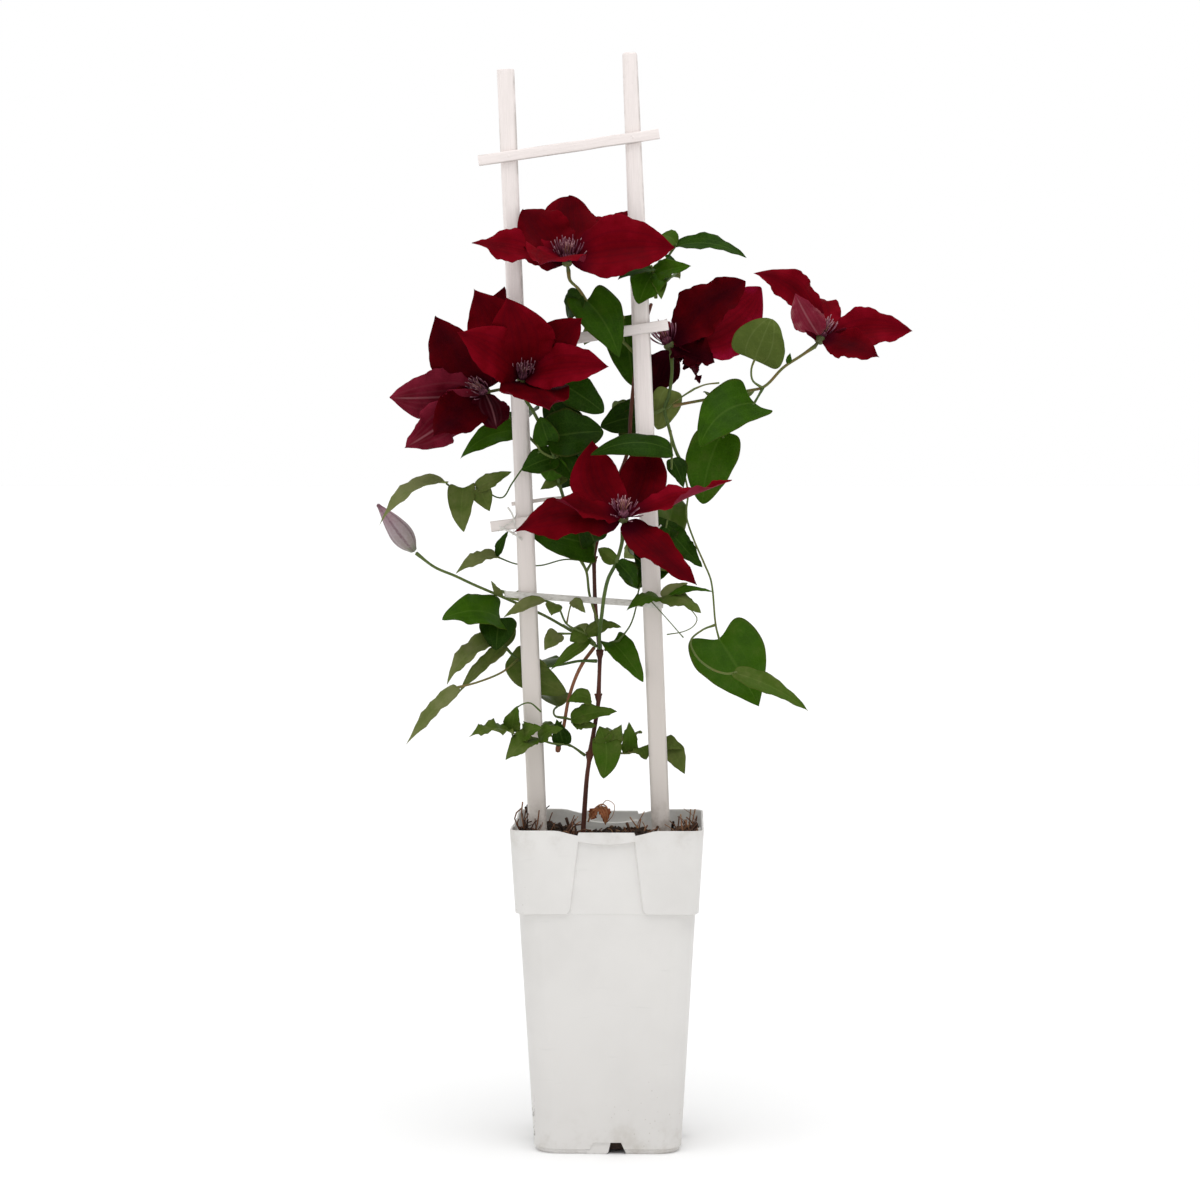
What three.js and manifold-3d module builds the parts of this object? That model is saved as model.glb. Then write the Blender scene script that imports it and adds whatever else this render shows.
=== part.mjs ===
// A clematis in bloom, tied to a small white ladder trellis, in its square nursery pot.
// Millimetres, +Z up. The origin is the middle of the pot's underside; -Y is the plant's front.
import * as THREE from 'three';
import { mergeVertices } from 'three/addons/utils/BufferGeometryUtils.js';
import Module from 'manifold-3d';

const wasm = await Module();
wasm.setup();

// ---------------------------------------------------------------- driving dimensions

const GAP = 0.3; // clearance between pieces that touch

const POT = {
  height: 221, wall: 1.5, floor: 2.5,
  footHalf: 48, baseHalf: 50, shoulderHalf: 59.3,
  footHeight: 4, shoulderHeight: 163,
  collarBottom: 164, collarBottomHalf: 61.5, collarTopHalf: 65,
  baseCorner: 16, topCorner: 13, collarCorner: 9, cornerSegments: 3,
  outside: 70, over: 8, // how far the cutting tools reach, out past the walls and up past the rim
};
const RECESS = { topHalf: 18.5, bottomHalf: 26, flare: 4, draft: 0.6, lipBottom: 213.7, lipSag: 2 };
const LIP = { half: 19.5, top: 219.8, dipHalf: 33, dipTop: 217.5, inner: 52 };
const FOOT_NOTCH = { half: 11, height: 8, inner: 20, roof: 2.5, drainRadius: 4, drainAt: 32 };

const SOIL = { level: 204, cells: 8, half: 72, under: -10 };
const SOIL_MOUNDS = [ // x, y, extra height, radius
  [22, -50, 16, 11], [-26, -52, 14, 10], [-56, -34, 15, 13], [52, -44, 14, 12],
  [56, 24, 10, 14], [-48, 48, 9, 13], [6, 40, 3, 18],
];

const UPRIGHT = { width: 12.6, depth: 9, round: 2.4, y: -20 };
const UPRIGHT_LEFT = { foot: [-41.7, 60], head: [-69.3, 731] };
const UPRIGHT_RIGHT = { foot: [42.3, 60], head: [14.5, 742] };
const RUNG = { height: 7.2, depth: 3, round: 0.7, tiltDeg: 8.3 };
const RUNG_TOP = { centre: [-26.5, 678], length: 123 };
const RUNG_MIDDLE = { centre: [-19.8, 550], length: 122 };
const RUNG_LOW = { centre: [-19.5, 431.5], length: 121 };
const TIE = { height: 4.4, thickness: 1, dropDeg: -4, left: -70.5, right: 37.5, z: 373.5 };
const BRACE = { height: 2.6, thickness: 1.4, riseDeg: 6, left: -66, right: 34, z: 443.5 };

const BLADE = 0.7; // thickness of leaves and petals
const STALK_SIDES = 3;
const LEAFLET = 28; // a leaf narrower than this takes fewer faces
const ROOT = 0.4; // how deep a leaf's foot is sunk in its stalk
const SCRAP = 6; // mm3, the largest loose crumb that a join may leave behind

// ---------------------------------------------------------------- colours

const paint = (color, roughness) => new THREE.MeshStandardMaterial({ color, roughness, metalness: 0 });
const PLASTIC = paint('#dfdfdb', 0.5);
const EARTH = paint('#3b2417', 0.95);
const WHITE_WOOD = paint('#e2dad8', 0.7);
const TIE_STRIP = paint('#d2d0ca', 0.6);
const BARK = paint('#45221a', 0.8);
const YOUNG_BARK = paint('#a5644c', 0.7);
const DRY = paint('#b0672f', 0.85);
const LEAF = paint('#2b5716', 0.55);
const PETAL = paint('#74060f', 0.6);
const STAMEN = paint('#5a2c3c', 0.7);
const BUD = paint('#8d7f86', 0.8);

// ---------------------------------------------------------------- solids

const vec = ([x, y, z]) => new THREE.Vector3(x, y, z);
const plainPoint = ([x, y, z]) => [x, y, z];

// A closed geometry as a solid that can be joined and cut.
function solid(geometry) {
  const bare = geometry.clone();
  for (const name of Object.keys(bare.attributes)) {
    if (name !== 'position') bare.deleteAttribute(name);
  }
  const welded = mergeVertices(bare, 1e-4);
  return new wasm.Manifold(new wasm.Mesh({
    numProp: 3,
    vertProperties: Float32Array.from(welded.attributes.position.array),
    triVerts: Uint32Array.from(welded.index.array),
  }));
}

function geometryOf(body) {
  const mesh = body.getMesh();
  const geometry = new THREE.BufferGeometry();
  geometry.setAttribute('position', new THREE.BufferAttribute(Float32Array.from(mesh.vertProperties), 3));
  geometry.setIndex(new THREE.BufferAttribute(Uint32Array.from(mesh.triVerts), 1));
  return geometry;
}

const join = (bodies) => bodies.reduce((whole, body) => whole.add(body));

// The one body that a join gives, without its crumbs; a bigger loose piece is reported.
function oneBody(body) {
  const pieces = body.decompose().sort((a, b) => b.volume() - a.volume());
  if (pieces.length > 1 && pieces[1].volume() > SCRAP) {
    const { min, max } = pieces[1].boundingBox();
    console.error(`a piece hangs loose between ${min.map(Math.round)} and ${max.map(Math.round)}`);
  }
  return pieces[0];
}

const cutAll = (body, tools) => tools.reduce((left, tool) => left.subtract(tool), body);

// Rings of equally many points, bottom to top, closed by a fan at each end.
function loft(rings) {
  const count = rings[0].length;
  const middle = (ring) => ring.reduce((sum, p) => sum.add(p), new THREE.Vector3()).divideScalar(count);
  const points = [...rings.flat(), middle(rings[0]), middle(rings[rings.length - 1])];
  const faces = [];
  const bottom = points.length - 2;
  const top = points.length - 1;
  for (let i = 0; i < count; i += 1) {
    const next = (i + 1) % count;
    faces.push(bottom, next, i);
    for (let r = 0; r < rings.length - 1; r += 1) {
      const a = r * count + i;
      const b = r * count + next;
      faces.push(a, b, b + count, a, b + count, a + count);
    }
    const last = (rings.length - 1) * count;
    faces.push(top, last + i, last + next);
  }
  const geometry = new THREE.BufferGeometry().setFromPoints(points);
  geometry.setIndex(faces);
  return solid(geometry);
}

// A square with rounded corners, counter-clockwise from above.
function roundedSquare(half, corner, z) {
  const ring = [];
  for (let quarter = 0; quarter < 4; quarter += 1) {
    const middle = (quarter + 0.5) * Math.PI / 2;
    const centre = (half - corner) * Math.SQRT2;
    for (let i = 0; i <= POT.cornerSegments; i += 1) {
      const angle = quarter * Math.PI / 2 + (i / POT.cornerSegments) * Math.PI / 2;
      ring.push(new THREE.Vector3(
        centre * Math.cos(middle) + corner * Math.cos(angle),
        centre * Math.sin(middle) + corner * Math.sin(angle),
        z,
      ));
    }
  }
  return ring;
}

// A flat outline in x and z, extruded through y and rounded along its edges.
function slab(shape, depth, round, segments = 1) {
  const geometry = new THREE.ExtrudeGeometry(shape, {
    depth: depth - 2 * round,
    bevelEnabled: round > 0,
    bevelThickness: round,
    bevelSize: round,
    bevelOffset: -round,
    bevelSegments: segments,
    curveSegments: 4,
  });
  geometry.translate(0, 0, -(depth - 2 * round) / 2);
  geometry.rotateX(Math.PI / 2);
  return geometry;
}

// A tube through hand-placed points, with one ring of corners at each; a fourth number is the point's radius.
function stalk(points, radius, sides = STALK_SIDES) {
  const path = new THREE.CatmullRomCurve3(points.map(vec), false, 'centripetal');
  const across = new THREE.Vector3(0.8, 0.3, 0.5);
  const rings = points.map((point, i) => {
    const along = path.getTangent(i / (points.length - 1));
    across.addScaledVector(along, -across.dot(along)).normalize();
    const over = new THREE.Vector3().crossVectors(along, across);
    const reach = point[3] ?? radius;
    return Array.from({ length: sides }, (_, n) => {
      const angle = (n / sides) * 2 * Math.PI;
      return vec(point).addScaledVector(across, reach * Math.cos(angle))
        .addScaledVector(over, reach * Math.sin(angle));
    });
  });
  return loft(rings);
}

// ---------------------------------------------------------------- blades: leaves and petals

// widest moves the broadest place towards the base below 1, fullness rounds the outline below 1, point
// draws the tip out, and lobe sweeps the two sides back behind the stalk, as in a heart.
const OUTLINES = {
  heart: { widest: 0.52, fullness: 0.72, point: 0, lobe: 0.17 },
  ovate: { widest: 0.62, fullness: 0.9, point: 0, lobe: 0.06 },
  lance: { widest: 0.75, fullness: 1.1, point: 0, lobe: 0 },
  petal: { widest: 0.88, fullness: 0.72, point: 0.4, lobe: 0 },
};
const LOBE_AT = 0.13;
const ROWS = { heart: 5, ovate: 4, lance: 4, petal: 5 };
const LARGE_LEAF = { width: 44, rows: 7, cols: 6 };

// One point of a blade: u runs across from -1 to 1, v along from base to tip.
function bladePoint(b, u, v) {
  const bow = 4 * v * (1 - v);
  const half = (b.width / 2) * Math.sin(Math.PI * v ** b.widest) ** (b.fullness + b.point * v ** 5);
  const swept = b.lobe * b.length * Math.abs(u) ** 1.6 * (v / LOBE_AT) * Math.exp(1 - v / LOBE_AT);
  const turn = THREE.MathUtils.degToRad(b.twist) * v;
  const side = b.side.clone().multiplyScalar(Math.cos(turn)).addScaledVector(b.up, Math.sin(turn));
  const up = b.up.clone().multiplyScalar(Math.cos(turn)).addScaledVector(b.side, -Math.sin(turn));
  const ripple = Math.sin(2 * Math.PI * (b.ripples * v + (u < 0 ? b.phase : 0)));
  const lift = b.fold * half * Math.abs(u) ** 1.4 + b.wave * u * u * ripple * Math.sqrt(bow);
  return vec(b.from)
    .addScaledVector(b.along, b.length * v - swept)
    .addScaledVector(b.up, b.rise * bow - b.hook * v ** 4)
    .addScaledVector(b.side, b.bend * bow)
    .addScaledVector(side, u * half)
    .addScaledVector(up, lift);
}

// The blade's own frame: along the midrib, across it, and up out of its upper face.
function bladeFrame(spec) {
  const along = vec(spec.to).sub(vec(spec.from));
  const length = along.length();
  along.normalize();
  const side = new THREE.Vector3().crossVectors(along, vec(spec.face)).normalize();
  const up = new THREE.Vector3().crossVectors(side, along);
  const plain = { rise: 0, hook: 0, bend: 0, fold: 0, twist: 0, wave: 0, ripples: 2, phase: 0.4 };
  return { ...plain, ...OUTLINES[spec.kind], ...spec, along, length, side, up };
}

// A thin closed blade: both faces carry the same triangles, half the thickness to each side.
function blade(spec, thickness = BLADE) {
  const b = bladeFrame(spec);
  const large = b.kind !== 'petal' && b.width > LARGE_LEAF.width;
  const small = b.kind !== 'petal' && b.width < LEAFLET;
  const cols = large ? LARGE_LEAF.cols : small ? 2 : 4;
  const rows = large ? LARGE_LEAF.rows : ROWS[b.kind];
  const middle = [bladePoint(b, 0, 0)];
  for (let r = 1; r < rows; r += 1) {
    for (let c = 0; c <= cols; c += 1) middle.push(bladePoint(b, (2 * c) / cols - 1, (r / rows) ** 1.15));
  }
  middle.push(bladePoint(b, 0, 1));
  const tip = middle.length - 1;
  const at = (r, c) => 1 + (r - 1) * (cols + 1) + c;
  const faces = [];
  for (let c = 0; c < cols; c += 1) {
    faces.push([0, at(1, c), at(1, c + 1)]);
    for (let r = 1; r < rows - 1; r += 1) {
      faces.push([at(r, c), at(r + 1, c), at(r + 1, c + 1)], [at(r, c), at(r + 1, c + 1), at(r, c + 1)]);
    }
    faces.push([tip, at(rows - 1, c + 1), at(rows - 1, c)]);
  }
  const rim = [0];
  for (let r = 1; r < rows; r += 1) rim.push(at(r, 0));
  rim.push(tip);
  for (let r = rows - 1; r > 0; r -= 1) rim.push(at(r, cols));
  const sheet = new THREE.BufferGeometry().setFromPoints(middle);
  sheet.setIndex(faces.flat());
  sheet.computeVertexNormals();
  const normals = sheet.attributes.normal;
  const count = middle.length;
  const shifted = (sign) => middle.map((p, i) => p.clone().addScaledVector(
    new THREE.Vector3().fromBufferAttribute(normals, i), sign * thickness / 2));
  const index = [];
  for (const [i, j, k] of faces) index.push(i, j, k, count + i, count + k, count + j);
  rim.forEach((i, n) => {
    const j = rim[(n + 1) % rim.length];
    index.push(j, i, count + i, j, count + i, count + j);
  });
  const closed = new THREE.BufferGeometry().setFromPoints([...shifted(1), ...shifted(-1)]);
  closed.setIndex(index);
  return solid(closed);
}

// ---------------------------------------------------------------- pot and soil

function potBody(inset, bottom, top) {
  const half = (z) => {
    if (z < POT.footHeight) return POT.footHalf + (POT.baseHalf - POT.footHalf) * z / POT.footHeight;
    const slope = (POT.shoulderHalf - POT.baseHalf) / (POT.shoulderHeight - POT.footHeight);
    return POT.baseHalf + slope * (z - POT.footHeight);
  };
  const corner = (z) => THREE.MathUtils.mapLinear(z, 0, POT.height, POT.baseCorner, POT.topCorner);
  const heights = [bottom, POT.footHeight, POT.shoulderHeight, top].filter((z) => z >= bottom && z <= top);
  return loft([...new Set(heights)].map((z) => roundedSquare(half(z) - inset, corner(z) - inset, z)));
}

function potCollar(inset, top) {
  const bottom = POT.collarBottom + inset;
  const slope = (POT.collarTopHalf - POT.collarBottomHalf) / (POT.height - POT.collarBottom);
  const half = (z) => POT.collarBottomHalf + slope * (z - POT.collarBottom) - inset;
  return loft([bottom, top].map((z) => roundedSquare(half(z), POT.collarCorner - inset, z)));
}

// The same tool on each of the four sides.
function fourSides(make) {
  return [0, 1, 2, 3].map((turn) => {
    const geometry = make();
    geometry.rotateZ(turn * Math.PI / 2);
    return solid(geometry);
  });
}

// The centre recess of one collar side: a tapering window, flared where it meets the collar's lower edge.
function recessTool(grow, openTop) {
  const bottom = POT.collarBottom - 1;
  const half = RECESS.bottomHalf + grow;
  const shape = new THREE.Shape();
  shape.moveTo(-half - RECESS.flare, bottom);
  shape.lineTo(half + RECESS.flare, bottom);
  shape.quadraticCurveTo(half, bottom + 1, half - RECESS.draft, bottom + 1.3 * RECESS.flare);
  const top = openTop ? POT.height + POT.over : RECESS.lipBottom;
  shape.lineTo(RECESS.topHalf + grow, top);
  if (!openTop) shape.quadraticCurveTo(0, top - 2 * RECESS.lipSag, -RECESS.topHalf - grow, top);
  shape.lineTo(-RECESS.topHalf - grow, top);
  shape.lineTo(-half + RECESS.draft, bottom + 1.3 * RECESS.flare);
  shape.quadraticCurveTo(-half, bottom + 1, -half - RECESS.flare, bottom);
  return slab(shape, 2 * (POT.outside - POT.baseHalf), 0).translate(0, -POT.outside, 0);
}

// The dip of the rim to each side of the lip, and the lip's own lower top.
function rimTool() {
  const over = POT.height + POT.over;
  const shape = new THREE.Shape([
    [-LIP.dipHalf, POT.height], [-LIP.half, LIP.dipTop], [-LIP.half, LIP.top], [LIP.half, LIP.top],
    [LIP.half, LIP.dipTop], [LIP.dipHalf, POT.height], [LIP.dipHalf, over], [-LIP.dipHalf, over],
  ].map(([x, z]) => new THREE.Vector2(x, z)));
  const depth = POT.outside - LIP.inner;
  return slab(shape, depth, 0).translate(0, -LIP.inner - depth / 2, 0);
}

// The tunnel that runs in under one side of the floor.
function footBox(half, height, inner) {
  const box = new THREE.BoxGeometry(2 * half, POT.outside - inner, 2 * height);
  return box.translate(0, -(POT.outside + inner) / 2, 0);
}

// The hollow of the pot, inset from the outside, over the raised roofs of the foot tunnels.
function potHollow(inset, floor) {
  const { half, height, inner, roof } = FOOT_NOTCH;
  const extra = inset - POT.wall;
  const top = POT.height + POT.over;
  const collar = cutAll(potCollar(inset, top), fourSides(() => recessTool(inset, true)));
  const hollow = potBody(inset, floor, top).add(collar);
  const cover = roof + extra;
  return cutAll(hollow, fourSides(() => footBox(half + cover, height + cover, inner - cover)));
}

function makePot() {
  const { half, height, inner, drainRadius, drainAt } = FOOT_NOTCH;
  const collar = cutAll(potCollar(0, POT.height), fourSides(() => recessTool(0, false)));
  const shell = potBody(0, 0, POT.height).add(collar).subtract(potHollow(POT.wall, POT.floor));
  const drain = () => new THREE.CylinderGeometry(drainRadius, drainRadius, 2 * height, 8)
    .rotateX(Math.PI / 2).translate(0, -drainAt, height);
  return cutAll(shell, [
    ...fourSides(() => footBox(half, height, inner)),
    ...fourSides(rimTool),
    ...fourSides(drain),
  ]);
}

// A block as wide as the pot whose upper face is the rough, mounded top of the soil.
function soilTop() {
  const n = SOIL.cells;
  const height = (x, y) => {
    const rough = 1.6 * Math.sin(x / 7 + 1) * Math.cos(y / 9) + 1.1 * Math.sin(x / 4.3 - y / 5.1);
    const mounds = SOIL_MOUNDS.map(([mx, my, rise, radius]) => (
      rise * Math.exp(-((x - mx) ** 2 + (y - my) ** 2) / radius ** 2)));
    return SOIL.level + rough + mounds.reduce((sum, rise) => sum + rise, 0);
  };
  const points = [];
  const base = (n + 1) * (n + 1);
  for (const flat of [false, true]) {
    for (let j = 0; j <= n; j += 1) {
      for (let i = 0; i <= n; i += 1) {
        const x = SOIL.half * ((2 * i) / n - 1);
        const y = SOIL.half * ((2 * j) / n - 1);
        points.push(new THREE.Vector3(x, y, flat ? SOIL.under : height(x, y)));
      }
    }
  }
  const faces = [];
  const at = (i, j) => j * (n + 1) + i;
  for (let j = 0; j < n; j += 1) {
    for (let i = 0; i < n; i += 1) {
      const quad = [at(i, j), at(i + 1, j), at(i + 1, j + 1), at(i, j + 1)];
      const [a, b, c, d] = quad;
      faces.push(a, b, c, a, c, d, base + a, base + c, base + b, base + a, base + d, base + c);
    }
    for (const [p, q] of [[at(j, 0), at(j + 1, 0)], [at(n, j), at(n, j + 1)],
      [at(n - j, n), at(n - j - 1, n)], [at(0, n - j), at(0, n - j - 1)]]) {
      faces.push(p, base + p, base + q, p, base + q, q);
    }
  }
  const geometry = new THREE.BufferGeometry().setFromPoints(points);
  geometry.setIndex(faces);
  return solid(geometry);
}

// Straws and root ends that stand out of the soil: foot, head, radius.
const STRAWS = [
  [[-26, -30, 199], [-33, -30, 222], 0.9], [[-22, -28, 199], [-28, -34, 226], 0.8],
  [[20, -34, 199], [13, -36, 223], 0.8], [[26, -44, 199], [34, -38, 221], 0.7],
  [[-56, 40, 199], [-58, 44, 226], 1.0], [[-52, 44, 199], [-60, 48, 224], 0.9],
  [[-60, 38, 199], [-52, 46, 222], 0.9], [[56, -20, 199], [60, -30, 222], 1.2],
  [[-34, 30, 199], [-26, 38, 214], 0.8], [[36, 36, 199], [44, 30, 216], 0.8],
];

function makeSoil(uprights, mainStemPath) {
  const filling = potHollow(POT.wall + GAP, POT.floor + GAP).intersect(soilTop());
  const straws = STRAWS.map(([foot, head, radius]) => stalk([foot, head], radius, 3));
  const [foot, ...rest] = mainStemPath;
  const below = [foot[0], foot[1], foot[2] - GAP];
  const stemHole = stalk([below, ...rest].map(plainPoint), MAIN_STEM.radius + 2 * GAP, 8);
  return cutAll(join([filling, ...straws]), [...uprights, stemHole]);
}

// ---------------------------------------------------------------- trellis

function upright({ foot, head }, grow = 0) {
  const length = Math.hypot(head[0] - foot[0], head[1] - foot[1]) + grow;
  const half = UPRIGHT.width / 2 + grow;
  const shape = new THREE.Shape();
  shape.moveTo(-half, -grow);
  shape.lineTo(half, -grow);
  shape.lineTo(half, length - half * 0.8);
  shape.quadraticCurveTo(half, length, 0, length);
  shape.quadraticCurveTo(-half, length, -half, length - half * 0.8);
  const geometry = slab(shape, UPRIGHT.depth + 2 * grow, UPRIGHT.round, 2);
  geometry.rotateY(Math.atan2(head[0] - foot[0], head[1] - foot[1]));
  return solid(geometry.translate(foot[0], UPRIGHT.y, foot[1]));
}

function rung({ centre, length }) {
  const half = length / 2;
  const high = RUNG.height / 2;
  const shape = new THREE.Shape([[-half, -high], [half, -high], [half, high], [-half, high]]
    .map(([x, z]) => new THREE.Vector2(x, z)));
  const geometry = slab(shape, RUNG.depth, RUNG.round);
  geometry.rotateY(THREE.MathUtils.degToRad(-RUNG.tiltDeg));
  const front = UPRIGHT.y - UPRIGHT.depth / 2 - GAP - RUNG.depth / 2;
  return solid(geometry.translate(centre[0], front, centre[1]));
}

// The plant tie: a flat strip across the front of both uprights, its ends folded round their outer sides.
function tieStrip() {
  const t = TIE.thickness;
  const front = UPRIGHT.y - UPRIGHT.depth / 2 - GAP;
  const back = front + 8;
  const plan = new THREE.Shape([
    [TIE.left, back], [TIE.left, front - t], [TIE.right, front - t], [TIE.right, back],
    [TIE.right - t, back], [TIE.right - t, front], [TIE.left + t, front], [TIE.left + t, back],
  ].map(([x, y]) => new THREE.Vector2(x, y)));
  const geometry = new THREE.ExtrudeGeometry(plan, { depth: TIE.height, bevelEnabled: false });
  geometry.translate(-(TIE.left + TIE.right) / 2, 0, -TIE.height / 2);
  geometry.rotateY(THREE.MathUtils.degToRad(-TIE.dropDeg));
  return solid(geometry.translate((TIE.left + TIE.right) / 2, 0, TIE.z));
}

function backBrace() {
  const half = (BRACE.right - BRACE.left) / 2;
  const back = UPRIGHT.y + UPRIGHT.depth / 2 + GAP + BRACE.thickness / 2;
  const box = new THREE.BoxGeometry(2 * half, BRACE.thickness, BRACE.height);
  box.rotateY(THREE.MathUtils.degToRad(-BRACE.riseDeg));
  return solid(box.translate(BRACE.left + half, back, BRACE.z));
}

// ---------------------------------------------------------------- woody stems

const MAIN_STEM = { // where a point has a fourth number, the stem swells to a knot of that radius
  radius: 1.45, sides: 6,
  path: [
    [-19, -5, 186], [-17, -5, 222], [-15, -6, 250], [-13.4, -7, 262], [-13, -7, 266, 2.6], [-12.3, -7, 270],
    [-8, -8, 295], [-7, -8, 303], [-7, -8, 306, 2.3], [-6.8, -8, 309], [-6, -8, 332], [-6, -8, 336, 2.5],
    [-6.3, -8, 340], [-9, -8, 367], [-10, -8, 397], [-10, -8, 400, 2.2], [-10, -8, 403], [-6, -8, 420],
    [3, -8, 447], [13, -8, 474], [15, -8, 498], [17, -8, 519], [21, -8, 548], [29, -9, 574],
  ],
};
const SIDE_SHOOT = {
  radius: 1.2,
  path: [[-35, -10, 268.5, 1.4], [-34.6, -10, 271, 1.9], [-34, -10, 274], [-31, -10, 285], [-28, -10, 302],
    [-24, -9, 316], [-18, -9, 329], [-10, -8.5, 340]],
};

const mainStem = (grow = 0) => stalk(MAIN_STEM.path, MAIN_STEM.radius + grow, MAIN_STEM.sides);

function makeSideShoot() {
  const clear = stalk(MAIN_STEM.path.map(plainPoint), MAIN_STEM.radius + 4 * GAP, MAIN_STEM.sides);
  return stalk(SIDE_SHOOT.path, SIDE_SHOOT.radius, 5).subtract(clear);
}

const DRY_LEAF = [
  {
    kind: 'lance', from: [-14, -9, 221], to: [-4, -14, 232], face: [0.3, -1, 0.5],
    width: 10, rise: 2, fold: 0.4,
  },
  {
    kind: 'lance', from: [-6, -13, 232], to: [-1, -16, 219], face: [0.6, -1, 0.2],
    width: 9, rise: 3, fold: 0.5,
  },
];

// ---------------------------------------------------------------- leafy sprays: stalks and leaves

const leaf = (kind, from, to, face, width, form = {}) => ({ kind, from, to, face, width, ...form });

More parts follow.
